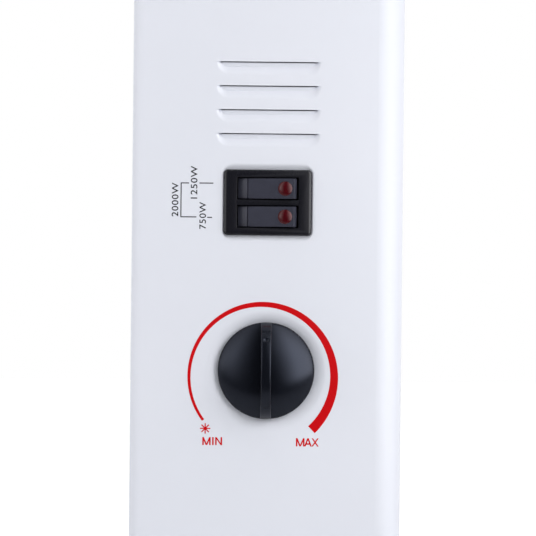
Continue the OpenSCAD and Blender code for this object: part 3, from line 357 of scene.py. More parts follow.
def shell_blank(front):
    """The folded outer skin of an end shell, open behind and below. Front is the side of its wide bend."""
    shell = block((2 * case_half, case_high - case_low, WRAP), (0, (case_high + case_low) / 2, -WRAP / 2))
    edit(shell)
    pick("FACE", lambda f: f.normal.z < -0.9 or f.normal.y < -0.9)
    bpy.ops.mesh.delete(type="FACE")
    clear()
    mesh = shell.data
    weights = mesh.attributes.new("bevel_weight_edge", "FLOAT", "EDGE")
    for e in mesh.edges:
        a, b = (mesh.vertices[i].co for i in e.vertices)
        weights.data[e.index].value = fold(a, b, front) / FRONT_BEND
    modify(shell, "BEVEL", width=FRONT_BEND, segments=10, limit_method="WEIGHT", use_clamp_overlap=False)
    edit(shell)
    pick("FACE", lambda f: f.normal.z > 0.999 and f.calc_area() > case_half ** 2)
    bpy.ops.mesh.inset(thickness=RING, depth=0)
    bpy.ops.mesh.delete(type="ONLY_FACE")
    return shell


# %% [markdown]
# The die's curve is half a cosine: it leaves the sheet level, falls, and lands level on the floor.

# %% Pressing helpers
def die_steps(width, depth, count):
    """Insets and drops that follow the die's soft curve over a wall of this width and depth."""
    level = [depth * (1 - math.cos(math.pi * i / count)) / 2 for i in range(count + 1)]
    return [(width / count, low - high) for high, low in zip(level, level[1:])]


def press(steps):
    """In edit mode, sinks the selected face step by step."""
    for inset, drop in steps:
        bpy.ops.mesh.inset(thickness=inset, depth=-drop)


def face_at(x, y):
    """In edit mode, selects the small flat face round a point of the sheet."""
    pick("FACE", lambda f: f.normal.z > 0.999 and len(f.verts) > 4
         and abs(f.calc_center_median().x - x) < 2 and abs(f.calc_center_median().y - y) < 2)


def round_outline(radius, at, vertices):
    """In edit mode, adds a disc to the sheet and leaves it selected."""
    bpy.ops.mesh.primitive_circle_add(vertices=vertices, radius=radius, fill_type="NGON", location=(*at, 0))


def square_outline(width, height, x, y, radius, corners="all"):
    """In edit mode, adds a face with rounded corners, all or the low ones, and leaves it selected."""
    bpy.ops.mesh.primitive_plane_add(size=1, location=(x, y, 0))
    bpy.ops.transform.resize(value=(width, height, 1), center_override=(x, y, 0))

    def corner(v):
        near = abs(v.co.x - x) < width / 2 + NEAR and abs(v.co.z) < NEAR
        at_low = abs(v.co.y - y + height / 2) < NEAR
        return near and (at_low or (corners == "all" and abs(v.co.y - y - height / 2) < NEAR))

    pick("VERT", corner)
    bpy.ops.mesh.bevel(offset=radius, segments=8, affect="VERTICES")
    face_at(x, y)


# %% [markdown]
# A louvre is a pocket pressed in below a slit. Its outline has a straight top and two round lower
# corners. After each inset the two upper corners are drawn back up to the slit's line, so that the
# pocket stays open there, and once the sheet is filled in, the wall across the mouth is deleted.

# %% Pressing a louvre
LOUVRE_L = 37.8
LOUVRE_H = 5.0
LOUVRE_IN = 1.5
LOUVRE_END = 2.6
LOUVRE_CORNER = 4.6
LOUVRE_SLIT = 0.36
LOUVRE_RISE = 86.3
LOUVRE_PITCH = 8.7
LOUVRE_COUNT = 4
LOUVRE_STEPS = 9
POCKET_SHRINK = 0.94
POCKET_CURVE = 1.4


def lift_mouth(line):
    """Draws the selected pocket face's two upper corners up to the slit's line."""
    data = bpy.context.object.data
    mesh = bmesh.from_edit_mesh(data)
    face = next(f for f in mesh.faces if f.select)
    longest = max(face.edges, key=lambda e: e.calc_length())
    for v in longest.verts:
        v.co.y = line
    bmesh.update_edit_mesh(data)


def press_louvre(x, line):
    """In edit mode, presses one louvre whose slit runs along this line of the sheet."""
    square_outline(LOUVRE_L + 2 * RING, LOUVRE_H + 2 * RING, x, line - LOUVRE_H / 2,
                   LOUVRE_CORNER + RING, "low")
    press([(RING, 0)])
    inset = LOUVRE_END / LOUVRE_STEPS
    level = [LOUVRE_IN * math.sin(math.pi / 2 * i / LOUVRE_STEPS) ** POCKET_CURVE
             for i in range(LOUVRE_STEPS + 1)]
    height = [LOUVRE_H * (1 - POCKET_SHRINK * i / LOUVRE_STEPS) for i in range(LOUVRE_STEPS + 1)]
    for i in range(LOUVRE_STEPS):
        press([(inset, level[i + 1] - level[i])])
        bpy.ops.transform.resize(value=(1, height[i + 1] / (height[i] - inset), 1),
                                 center_override=(x, line, 0))
        lift_mouth(line - LOUVRE_SLIT)


# %% [markdown]
# With all outlines pressed, one Fill closes the flat sheet between them. The faces are turned outwards
# before the sheet gets its thickness: on a closed shell, that step would turn its inner side round.

# %% Finishing a sheet
def fill_flat(bounded, lines=()):
    """In edit mode, fills the flat sheet between its outlines and opens the louvres on these lines.
    Bounded is one more test that the outlines' edges have to pass."""
    flat = all_at(lambda p: abs(p.z) < NEAR)
    pick("EDGE", lambda e: (e.is_boundary or e.is_wire) and flat(e) and bounded(e))
    bpy.ops.mesh.fill(use_beauty=True)
    if lines:
        pick("FACE", lambda f: any(all(line - LOUVRE_SLIT - NEAR < v.co.y < line + NEAR for v in f.verts)
                                   for line in lines))
        bpy.ops.mesh.delete(type="FACE")


def finish_sheet(sheet, name, place, node):
    """Turns the flat sheet's faces towards +Z, gives the steel its thickness and delivers it."""
    bpy.ops.mesh.select_all(action="SELECT")
    bpy.ops.mesh.normals_make_consistent(inside=False)
    mesh = bmesh.from_edit_mesh(bpy.context.object.data)
    flat = max(mesh.faces, key=lambda f: f.calc_area() * abs(f.normal.z))
    if flat.normal.z < 0:
        bpy.ops.mesh.flip_normals()
    modify(sheet, "SOLIDIFY", thickness=SHEET, offset=-1, use_even_offset=False)
    deliver(sheet, name, "painted_sheet", place, node)


# %% [markdown]
# The dish is round and lies about the knob's axis. The recess follows the switch's bezel, wider above
# and below it than at its sides, so each step is drawn back out sideways a little. The window for the
# switch's body is in its floor. The hand-hold near the top is a plain window: its rim hides the cut.

# %% Press the dish
DISH_R = 22.0
DISH_WALL = 6.4
DISH_IN = 1.85
SHAFT_HOLE = 4.5
control_shell = shell_blank(front=1)
round_outline(DISH_R + RING, (0, 0), 128)
press([(RING, 0)] + die_steps(DISH_WALL, DISH_IN, 14) + [(DISH_R - DISH_WALL - SHAFT_HOLE, 0)])
bpy.ops.mesh.delete(type="FACE")
print("dish", 2 * DISH_R, "mm across and", DISH_IN, "deep")

# %% Press the switch recess
SWITCH_RISE = 61.1
BEZEL_W = 32
BEZEL_H = 24
RECESS_REACH = 2.4
RECESS_SIDE = 0.6
RECESS_UNDER = 0.4
RECESS_IN = 1.0
RECESS_CORNER = 1.8 + RECESS_REACH
RECESS_STEPS = 10
WINDOW_MARGIN = 1.5
width = BEZEL_W + 2 * RECESS_SIDE
height = BEZEL_H + 2 * RECESS_REACH
square_outline(width + 2 * RING, height + 2 * RING, 0, SWITCH_RISE, RECESS_CORNER + RING)
press([(RING, 0)])
for step in die_steps(RECESS_REACH + RECESS_UNDER, RECESS_IN, RECESS_STEPS):
    press([step])
    narrowed = width - 2 * (RECESS_SIDE + RECESS_UNDER) / RECESS_STEPS
    bpy.ops.transform.resize(value=(narrowed / (width - 2 * step[0]), 1, 1),
                             center_override=(0, SWITCH_RISE, 0))
    width = narrowed
press([(WINDOW_MARGIN - RECESS_UNDER, 0)])
bpy.ops.mesh.delete(type="FACE")
print("recess window", round(width - 2 * (WINDOW_MARGIN - RECESS_UNDER), 1), "mm wide")

# %% Press the louvres, cut the hand-hold and finish the shell
HANDLE_BORDER = 5
HANDLE_WALL = 1.6
HANDLE_PLAY = 0.2
WINDOW_CORNER = 4


def node_box(node):
    """The x, y and z of a node's middle and those of its size, in millimetres."""
    low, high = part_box(node)
    return [(a + b) / 2 / MM for a, b in zip(low, high)], [(b - a) / MM for a, b in zip(low, high)]


handle_middle, handle_size = node_box("handle_control_end")
handle_y = handle_middle[2] - knob_z / MM
handle_w, handle_h = handle_size[1:]


def finish_shell(shell, name, place, node, lines=()):
    """Cuts the hand-hold's window in an end shell's face and finishes the sheet."""
    grow = 2 * (HANDLE_WALL + HANDLE_PLAY - HANDLE_BORDER)
    square_outline(handle_w + grow, handle_h + grow, 0, handle_y, WINDOW_CORNER)
    bpy.ops.mesh.delete(type="ONLY_FACE")
    at_foot = all_at(lambda p: p.y < case_low + NEAR)
    fill_flat(lambda e: not at_foot(e), lines)
    finish_sheet(shell, name, place, node)


slit_lines = [LOUVRE_RISE + i * LOUVRE_PITCH for i in range(LOUVRE_COUNT)]
for line in slit_lines:
    press_louvre(0, line)
finish_shell(control_shell, "pressed_control_shell", CONTROL_FACE, "control_end_panel", slit_lines)

# %% [markdown]
# ## The plain end
# The other shell is the same blank without controls: only the window for its hand-hold.

# %% Plain end shell
finish_shell(shell_blank(front=-1), "pressed_plain_shell", PLAIN_FACE, "plain_end_panel")

# %% [markdown]
# ## Front and rear panels
# Each panel is folded from one sheet: a wide bend at its top, a tight one at its foot, and a joggled
# lip at either end that slides in behind the end shell. The lips are extruded from the sheet's own
# ends. The front's louvres are the control end's, in columns; the back has plain pierced slots.

# %% Panel sizes and folding
SEAM = 0.4
LIP_W = 10
LIP_BACK = 1.0
RETURN_W = 14
BASE_BEND = 1.5
COLUMN_PITCH = 44
panel_half = (far_end_x - end_x) / MM / 2 - WRAP - SEAM
foot_z = shell_low.z / MM
top_z = shell_high.z / MM


def round_edges(piece, radius, test, segments=3):
    """Rounds the edges that pass the test."""
    edit(piece)
    pick("EDGE", test)
    bpy.ops.mesh.bevel(offset=radius, segments=segments, affect="EDGES")
    clear()


def panel_blank(top_bend):
    """A folded panel, open behind and at both ends, its flat face cleared for outlines."""
    panel = block((2 * panel_half, top_z - foot_z, RETURN_W), (0, (top_z + foot_z) / 2, -RETURN_W / 2))
    edit(panel)
    pick("FACE", lambda f: f.normal.z < -0.9 or abs(f.normal.x) > 0.9)
    bpy.ops.mesh.delete(type="FACE")
    round_edges(panel, top_bend, all_at(lambda p: p.z > -NEAR and p.y > top_z - NEAR), 10)
    round_edges(panel, BASE_BEND, all_at(lambda p: p.z > -NEAR and p.y < foot_z + NEAR), 4)
    edit(panel)
    pick("FACE", lambda f: f.normal.z > 0.999)
    bpy.ops.mesh.inset(thickness=RING, depth=0)
    bpy.ops.mesh.delete(type="ONLY_FACE")
    return panel


def finish_panel(panel, name, place, node, lines=()):
    """Fills a panel's flat, extrudes a joggled lip from both of its ends and finishes the sheet."""
    fill_flat(all_at(lambda p: abs(p.x) < panel_half - RING + NEAR), lines)
    for side in (-1, 1):
        at_end = all_at(lambda p: side * p.x > panel_half - NEAR and abs(p.z) < NEAR)
        pick("EDGE", lambda e: e.is_boundary and at_end(e))
        for step in ((0, 0, -LIP_BACK), (side * (LIP_W + SEAM), 0, 0)):
            bpy.ops.mesh.extrude_edges_move(TRANSFORM_OT_translate={"value": step})
    finish_sheet(panel, name, place, node)


def spread(count, pitch, middle=0):
    """Places at an even pitch about a middle."""
    return [middle + (i - (count - 1) / 2) * pitch for i in range(count)]


# %% Press the front panel
FRONT_DROP = 26
FRONT_COLUMNS = 8
front_shell = panel_blank(FRONT_BEND)
front_lines = [top_z - FRONT_DROP - row * LOUVRE_PITCH for row in range(LOUVRE_COUNT)]
for line in front_lines:
    for x in spread(FRONT_COLUMNS, COLUMN_PITCH):
        press_louvre(x, line)
finish_panel(front_shell, "pressed_front_panel", FRONT_FACE, "front_panel", front_lines)

# %% [markdown]
# A pierced slot is an outline pressed in by two tenths of a millimetre and then opened, so its edge is
# slightly rolled and no finger meets a burr. The rear panel also has the round hole of the cord gland.

# %% Pierce the rear panel
SLOT_L = 34
SLOT_W = 5
SLOT_PITCH = 10.5
ROLLED_EDGE = [(0.1, 0.02), (0.1, 0.06), (0.08, 0.12)]
REAR_COLUMNS = 7
INLET_RISE = 48
GLAND_HOLE = 6.1
gland_middle = node_box("cable_gland")[0]
gland_at = (mid_x / MM - gland_middle[0], gland_middle[2])


def pierce_slots(columns, pitch, rows, middle):
    """In edit mode, pierces rows of slots about a height of the sheet."""
    for y in spread(rows, SLOT_PITCH, middle):
        for x in spread(columns, pitch):
            square_outline(SLOT_L, SLOT_W, x, y, SLOT_W / 2 - NEAR)
            press(ROLLED_EDGE)
            bpy.ops.mesh.delete(type="FACE")


rear_shell = panel_blank(REAR_BEND)
pierce_slots(REAR_COLUMNS, COLUMN_PITCH, 4, foot_z + INLET_RISE)
pierce_slots(REAR_COLUMNS, COLUMN_PITCH, 2, top_z - FRONT_DROP - SLOT_PITCH)
round_outline(GLAND_HOLE, gland_at, 64)
bpy.ops.mesh.delete(type="ONLY_FACE")
finish_panel(rear_shell, "pierced_rear_panel", REAR_FACE, "rear_panel")

# %% [markdown]
# The top grille is a flat sheet under the opening that the four shells leave. It has the same slots,
# in even rows.

# %% Pierce the top grille
GRILLE_COLUMNS = 11
GRILLE_ROWS = 6
GRILLE_PITCH = 39
grille_middle, grille_size = node_box("top_grille")
grille_top = grille_middle[2] + grille_size[2] / 2


def flat_plate(size, at=(0, 0)):
    """A plane primitive at its real size, its scale applied."""
    clear()
    bpy.ops.mesh.primitive_plane_add(size=1, location=(*at, 0))
    bpy.context.object.scale = (*size, 1)
    return settled()


grille = flat_plate(grille_size[:2])
edit(grille)
bpy.ops.mesh.select_all(action="SELECT")
bpy.ops.mesh.delete(type="ONLY_FACE")
pierce_slots(GRILLE_COLUMNS, GRILLE_PITCH, GRILLE_ROWS, 0)
fill_flat(lambda e: True)
finish_sheet(grille, "pierced_top_grille", UPRIGHT @ Matrix.Translation((0, 0, grille_top)), "top_grille")

# %% [markdown]
# ## Handles
# A handle is a deep moulded cup with a flat rim. Plastic this thick has no sharp edges anywhere: the
# rim's outer edge, the mouth and the bottom of the cup are all rounded. The cup is joined to the rim
# and hollowed out by booleans, because here two bodies do meet at an edge, which is then rounded.

# %% Joining and rounding
def cut_with(piece, *tools, how="DIFFERENCE"):
    """Booleans that use up their tools."""
    for tool in tools:
        modify(piece, "BOOLEAN", object=tool, operation=how, solver="EXACT")
        bpy.data.objects.remove(tool)


def upright(length):
    """A test of an edge: it rises by more than half of this length."""
    return lambda e: abs(e.verts[0].co.z - e.verts[1].co.z) > length / 2


def rounded_block(size, at, corner, top=0.0, bottom=0.0, steps=8):
    """A block with upright corners of this radius, and rounded top or bottom edges if asked."""
    piece = block(size, at)
    round_edges(piece, corner, upright(size[2]), steps)
    if top:
        round_edges(piece, top, all_at(lambda p: p.z > at[2] + size[2] / 2 - NEAR), 4)
    if bottom:
        round_edges(piece, bottom, all_at(lambda p: p.z < at[2] - size[2] / 2 + NEAR), 4)
    return piece


# %% Handles
HANDLE_RIM = 1.6
HANDLE_IN = 18
EDGE_ROUND = 1.0
MOUTH_ROUND = 0.7
CUP_ROUND = 2.5
HOLLOW_ROUND = 2.2
EDGE_CORNER = 6
MOUTH_CORNER = 3
OVERSHOOT = 1
cup_w = handle_w - 2 * HANDLE_BORDER
cup_h = handle_h - 2 * HANDLE_BORDER


def deliver_pair(piece, name, node, places):
    """Hands over a piece and a copy of it, one for either end of the heater."""
    hold(piece)
    bpy.ops.object.duplicate(linked=False)
    for one, end, place in zip((piece, bpy.context.object), ("control_end", "plain_end"), places):
        deliver(one, f"{name}_{end}", "satin_black", place, f"{node}_{end}")


handle = rounded_block((handle_w, handle_h, HANDLE_RIM), (0, handle_y, HANDLE_RIM / 2), EDGE_CORNER,
                       top=EDGE_ROUND)
depth = HANDLE_IN + HANDLE_WALL
cup = rounded_block((cup_w + 2 * HANDLE_WALL, cup_h + 2 * HANDLE_WALL, depth),
                    (0, handle_y, NEAR - depth / 2), MOUTH_CORNER + HANDLE_WALL, bottom=CUP_ROUND)
depth = HANDLE_IN + HANDLE_RIM + OVERSHOOT
hollow = rounded_block((cup_w, cup_h, depth), (0, handle_y, HANDLE_RIM + OVERSHOOT - depth / 2),
                       MOUTH_CORNER, bottom=HOLLOW_ROUND)
cut_with(handle, cup, how="UNION")
cut_with(handle, hollow)
round_edges(handle, MOUTH_ROUND, all_at(lambda p: p.z > HANDLE_RIM - NEAR and abs(p.x) < cup_w / 2 + NEAR
            and abs(p.y - handle_y) < cup_h / 2 + NEAR), 4)
deliver_pair(handle, "moulded_handle", "handle", (CONTROL_FACE, PLAIN_FACE))

# %% [markdown]
# ## Feet
# Each foot is one arched moulding. Its outline is drawn from the side and drawn out to its width, its
# corners are swept, and then every outer edge is broken. Screw wells and pad seats go in from below.

# %% Drawing outlines
def profile(points):
    """A line drawn by hand: one vertex, extruded from point to point."""
    clear()
    bpy.ops.mesh.primitive_plane_add(size=1, location=(0, 0, 0))
    piece = bpy.context.object
    bpy.ops.object.mode_set(mode="EDIT")
    bpy.ops.mesh.select_mode(type="VERT")
    bpy.ops.mesh.select_all(action="SELECT")
    bpy.ops.mesh.merge(type="CENTER")
    bpy.ops.transform.translate(value=points[0])
    for here, there in zip(points, points[1:]):
        step = Vector(there) - Vector(here)
        bpy.ops.mesh.extrude_vertices_move(TRANSFORM_OT_translate={"value": step})
    bpy.ops.mesh.select_all(action="SELECT")
    return piece


def tidy_normals():
    """In edit mode, merges doubles and turns every face outwards."""
    bpy.ops.mesh.select_all(action="SELECT")
    bpy.ops.mesh.remove_doubles(threshold=0.001)
    bpy.ops.mesh.normals_make_consistent(inside=False)


def drawn_out(points, length):
    """A solid whose outline lies across X, drawn out along X about its middle."""
    piece = profile([(-length / 2, a, b) for a, b in points])
    bpy.ops.mesh.edge_face_add()
    bpy.ops.mesh.extrude_region_move(TRANSFORM_OT_translate={"value": (length, 0, 0)})
    tidy_normals()
    clear()
    return piece


# %% Arcs and swept corners
def arc(radius, start, stop, steps, centre=(0, 0)):
    """Points along an arc, angles in degrees."""
    turn = [math.radians(start + (stop - start) * i / steps) for i in range(steps + 1)]
    return [(centre[0] + radius * math.cos(a), centre[1] + radius * math.sin(a)) for a in turn]


def bow_radius(half, rise):
    """The radius of a bow from half its width and its rise."""
    return (half ** 2 + rise ** 2) / (2 * rise)


def swept(corners):
    """An outline's points, from corners of (x, y, radius), each swept to its radius or sharp at 0."""
    made = []
    for i, (x, y, radius) in enumerate(corners):
        if not radius:
            made.append((x, y))
            continue
        here = Vector((x, y))
        back = (Vector(corners[i - 1][:2]) - here).normalized()
        ahead = (Vector(corners[(i + 1) % len(corners)][:2]) - here).normalized()
        half = back.angle(ahead) / 2
        middle = here + (back + ahead).normalized() * radius / math.sin(half)
        first = here + back * radius / math.tan(half) - middle
        last = here + ahead * radius / math.tan(half) - middle
        turn = first.angle_signed(last)
        made += [tuple(middle + Matrix.Rotation(-turn * step / 8, 2) @ first) for step in range(9)]
    return made


# %% Feet
FOOT_W = 34
FOOT_HALF = 100
TOE_H = 14
TOE_CUT = 4
PAD_OUT = 2
PAD_R = 8
PLAY = 0.1
ARCH_HALF = FOOT_HALF - 26
ARCH_TOP = 28
WELL_R = 5.5
HOLE_R = 2.3
FOOT_SCREW_Y = 22
TOE_Y = 87
FOOT_ROUND = 1.4
foot_x = node_box("foot_control_end")[0][0] - mid_x / MM
top_half = case_half - 3
arch_r = bow_radius(ARCH_HALF, ARCH_TOP - PAD_OUT)
arch_turn = math.degrees(math.asin(ARCH_HALF / arch_r))
edge = swept([
    (ARCH_HALF, PAD_OUT, 0), (FOOT_HALF, PAD_OUT, 1.5), (FOOT_HALF, TOE_H - TOE_CUT, 2.5),
    (FOOT_HALF - TOE_CUT, TOE_H, 3), (FOOT_HALF - 22, TOE_H + 6, 30), (top_half + 6, foot_z - 8, 14),
    (top_half, foot_z, 0), (0, foot_z, 0)])[:-1]
under = arc(arch_r, 90 + arch_turn, 90 - arch_turn, 40, (0, ARCH_TOP - arch_r))[1:-1]
foot = drawn_out(under + edge + [(-y, z) for y, z in reversed(edge)], FOOT_W)
round_edges(foot, FOOT_ROUND, all_at(lambda p: abs(abs(p.x) - FOOT_W / 2) < NEAR), 4)


def cylinder(radius, low, high, y=0, vertices=64):
    """An upright cylinder primitive between two heights."""
    clear()
    bpy.ops.mesh.primitive_cylinder_add(vertices=vertices, radius=radius, depth=high - low,
                                        location=(0, y, (high + low) / 2))
    return settled()


for side in (-1, 1):
    for radius, high, y in ((WELL_R, foot_z - 5, FOOT_SCREW_Y), (HOLE_R, foot_z + 1, FOOT_SCREW_Y),
                            (PAD_R + PLAY, 2 * PAD_OUT + PLAY, TOE_Y)):
        cut_with(foot, cylinder(radius, 0, high, side * y, 48))
places = [UPRIGHT @ Matrix.Translation((x, 0, 0)) for x in (foot_x, -foot_x)]
deliver_pair(foot, "arched_foot", "foot", places)

# %% [markdown]
# ## Screws and the cord gland
# The case is held by pan head screws with a cross recess. One is turned and its cross is cut by two
# slim wedges; the others are copies. The gland is a nut with six flats under a domed, slotted cap. Its
# bore stays open, because the cord isn't part of this heater.

# %% Case screws
SCREW_R = 1.7
HEAD_R = 3.4
HEAD_T = 1.8
SCREW_L = 7
SCREW_PARTS = (0.1, 0.9)


def turned(points, steps=64):
    """A solid turned about Z from a profile of (radius, height) that starts and ends on the axis."""
    piece = profile([(r, 0, z) for r, z in points])
    bpy.ops.mesh.spin(steps=steps, angle=2 * math.pi, center=(0, 0, 0), axis=(0, 0, 1))
    tidy_normals()
    clear()
    return piece


screw = turned([
    (0, HEAD_T), (1.3, HEAD_T - 0.04), (2.3, HEAD_T - 0.2), (3.0, HEAD_T - 0.55), (3.3, HEAD_T - 1.0),
    (HEAD_R, HEAD_T - 1.5), (HEAD_R, 0), (SCREW_R, 0), (SCREW_R, 1 - SCREW_L), (0.6, -SCREW_L),
    (0, -SCREW_L)], 40)
for turn in (0, 90):
    wedge = block((3.4, 0.7, 2.6), (0, 0, HEAD_T))
    for v in wedge.data.vertices:
        v.co.x *= 1 if v.co.z > HEAD_T else 0.4
    wedge.data.transform(Matrix.Rotation(math.radians(turn), 4, "Z"))
    cut_with(screw, wedge)
screw_half = node_box("case_screws")[1][0] / 2 - HEAD_R
lip_h = top_z - foot_z - FRONT_BEND - RETURN_W
copies = []
for x in (-screw_half, screw_half):
    for part in SCREW_PARTS:
        hold(screw)
        bpy.ops.object.duplicate(linked=False)
        copies.append(bpy.context.object)
        copies[-1].data.transform(Matrix.Translation((x, foot_z + part * lip_h, 0)))
bpy.data.objects.remove(screw)
hold(copies[0])
for copy in copies:
    copy.select_set(True)
bpy.ops.object.join()
deliver(copies[0], "cross_recess_case_screws", "zinc_plate", REAR_FACE, "case_screws")

# %% Cord gland
GLAND_OUT = 10
GLAND_IN = 8.8
NUT_R = 9
NUT_T = 4
CAP_R = 7
THREAD_R = 6
FLUTES = 12
CORD_BORE = 4
MOUTH = 1.2
NUT_ROUND = 0.5
gland = cylinder(NUT_R, 0, NUT_T, vertices=6)
round_edges(gland, NUT_ROUND, upright(NUT_T))
round_edges(gland, NUT_ROUND, all_at(lambda p: p.z > NUT_T - NEAR))
cap = turned([(0, 3), (CAP_R, 3), (CAP_R, 7), (CAP_R - 0.2, 8.4), (CAP_R - 0.9, 9.4),
              (CAP_R - 2, GLAND_OUT), (0, GLAND_OUT)])
thread = turned([(0, -GLAND_IN), (THREAD_R, -GLAND_IN), (THREAD_R, 1), (0, 1)])
cut_with(gland, cap, thread, how="UNION")
for turn in range(FLUTES):
    flute = block((1.0, 0.9, 8), (CAP_R + 0.1, 0, 8.6))
    flute.data.transform(Matrix.Rotation(2 * math.pi * turn / FLUTES, 4, "Z"))
    cut_with(gland, flute)
bore = turned([(0, -GLAND_IN - 1), (CORD_BORE, -GLAND_IN - 1), (CORD_BORE, GLAND_OUT - 0.8),
               (CORD_BORE + MOUTH, GLAND_OUT - 0.8 + MOUTH), (0, GLAND_OUT - 0.8 + MOUTH)])
cut_with(gland, bore)
deliver(gland, "fluted_cable_gland", "satin_black", REAR_FACE @ Matrix.Translation((*gland_at, 0)),
        "cable_gland")

# %% [markdown]
# ## The thermostat knob
# The knob is a shallow glossy dome with a finger fin across its whole diameter. The dome is turned from
# a profile that also gives it its wall and hub, so it is as hollow as the real moulding.

# %% Turn the dome
KNOB_R = 17.6
RIM_Z = 0.8
SKIRT_Z = -0.5
DOME_RISE = 6.9
KNOB_WALL = 1.5
HUB_R = 5
HUB_Z = -0.8
BORE_R = 3.05
BORE_TOP = 6.1
RIM_ROUND = 0.25
dome_r = bow_radius(KNOB_R, DOME_RISE)
dome_z = RIM_Z + DOME_RISE - dome_r


def dome_line(start, stop, steps, inside=0.0):
    """Points of the dome, or of its inner face, from one distance from the axis to another."""
    radii = [start + (stop - start) * i / steps for i in range(steps + 1)]
    return [(r, dome_z + math.sqrt((dome_r - inside) ** 2 - r ** 2)) for r in radii]


inner_r = KNOB_R - KNOB_WALL
knob = turned(
    dome_line(0, KNOB_R - RIM_ROUND, 40) + [(KNOB_R - 0.13, RIM_Z + 0.02), (KNOB_R, RIM_Z - 0.35)]
    + [(KNOB_R, SKIRT_Z), (inner_r, SKIRT_Z)] + dome_line(inner_r, HUB_R, 12, KNOB_WALL)
    + [(HUB_R, HUB_Z), (BORE_R, HUB_Z), (BORE_R, BORE_TOP), (0, BORE_TOP)], 160)
print("dome", 2 * KNOB_R, "mm across, radius", round(dome_r, 1))

# %% [markdown]
# The fin is a slim wedge under a round crest: it is drawn from the side, drawn out, and then pinched
# towards its crest. Its two long edges are rounded, because they catch a thin line of light each.

# %% Draw the finger fin
FIN_TOP = 13.7
FIN_END = 1.6
FIN_LOW = -0.8
FIN_OVER = -0.12
FIN_BASE = 4.3
FIN_CREST = 3.5
FIN_ROUND = 0.5
fin_half = KNOB_R + FIN_OVER
crest_r = bow_radius(fin_half, FIN_TOP - FIN_END)
crest_z = FIN_TOP - crest_r
end_turn = math.degrees(math.asin(fin_half / crest_r))
crest = arc(crest_r, 90 + end_turn, 90 - end_turn, 48, (0, crest_z))
fin = drawn_out(crest + [(fin_half, FIN_LOW), (-fin_half, FIN_LOW)], FIN_BASE)
for v in fin.data.vertices:
    rise = max(v.co.z, 0) / FIN_TOP
    v.co.x *= 1 + (FIN_CREST / FIN_BASE - 1) * rise
on_crest = all_at(lambda p: p.z > FIN_END - NEAR and abs(math.hypot(p.y, p.z - crest_z) - crest_r) < NEAR)
round_edges(fin, FIN_ROUND, lambda e: on_crest(e) and e.verts[0].co.x * e.verts[1].co.x > 0)
print("fin", round(2 * fin_half, 1), "mm long under a crest of radius", round(crest_r, 1))

# %% [markdown]
# A small round dimple near the fin's upper end is the knob's pointer. A ball presses it in, square
# to the crest.

# %% Join knob and fin, press the pointer
POINTER_Y = 11.3
POINTER_R = 0.95
POINTER_DEEP = 0.3
crest_turn = math.asin(POINTER_Y / crest_r)
ball_r = bow_radius(POINTER_R, POINTER_DEEP)
ball_at = crest_r + ball_r - POINTER_DEEP
clear()
bpy.ops.mesh.primitive_uv_sphere_add(segments=48, ring_count=24, radius=ball_r, location=(
    0, ball_at * math.sin(crest_turn), crest_z + ball_at * math.cos(crest_turn)))
ball = settled()
cut_with(knob, fin, how="UNION")
cut_with(knob, ball)
deliver(knob, "domed_knob", "gloss_black", CONTROL_FACE, "control_knob", "thermostat_dial", smooth=35)

# %% [markdown]
# ## The twin rocker switch
# The bezel stands just proud of the sheet, its upper edge well rounded: the right side shows it as a
# pale strip. The body behind it holds two deep pockets for the rockers.

# %% Bezel and body
RECESS_FLOOR = -1.0
BEZEL_T = 2.2
BEZEL_CORNER = 1.5
BEZEL_ROUND = 1.15
BODY_W = 28.3
BODY_H = 21.35
BODY_DEEP = 14
POCKET_L = 22.3
POCKET_H = 8.15
POCKET_ROUND = 0.18
ROCKER_PITCH = 10.2
rows = [SWITCH_RISE + ROCKER_PITCH / 2, SWITCH_RISE - ROCKER_PITCH / 2]
bezel_top = RECESS_FLOOR + BEZEL_T
bezel = rounded_block((BEZEL_W, BEZEL_H, BEZEL_T), (0, SWITCH_RISE, RECESS_FLOOR + BEZEL_T / 2),
                      BEZEL_CORNER, top=BEZEL_ROUND, steps=6)
body = block((BODY_W, BODY_H, BODY_DEEP), (0, SWITCH_RISE, RECESS_FLOOR - BODY_DEEP / 2 + NEAR))
cut_with(bezel, body, how="UNION")
for row in rows:
    cut_with(bezel, block((POCKET_L, POCKET_H, BODY_DEEP), (0, row, bezel_top + OVERSHOOT - BODY_DEEP / 2)))
round_edges(bezel, POCKET_ROUND, all_at(
    lambda p: abs(p.z - bezel_top) < NEAR and abs(p.x) < POCKET_L / 2 + NEAR
    and any(abs(p.y - row) < POCKET_H / 2 + NEAR for row in rows)), 2)
deliver(bezel, "rounded_switch_housing", "satin_black", CONTROL_FACE, "switch_housing")

# %% [markdown]
# A rocker is drawn from the side and drawn out to its width: two round ends about its pivot, a short pad
# on the left and a long face that rises to the right, with a fine groove at the crease between them.

# %% The rockers' section
ROCKER_R = 10.8
ROCKER_H = 7.35
PIVOT_Z = -2.0
CREASE_X = -7.3
CREASE_Z = 2.4
FACE_TILT = math.radians(10)
PAD_TILT = math.radians(24)
ROCKER_FOOT = -4.5
GROOVE = 0.22


def end_turn_of(tilt, side):
    """The turn, to a tenth of a degree, where a tilted face through the crease meets the round end."""
    for step in range(900):
        turn = math.radians(step / 10)
        x = side * ROCKER_R * math.cos(turn)
        if ROCKER_R * math.sin(turn) > CREASE_Z + (x - CREASE_X) * math.tan(tilt):
            return math.degrees(turn)
    return 0


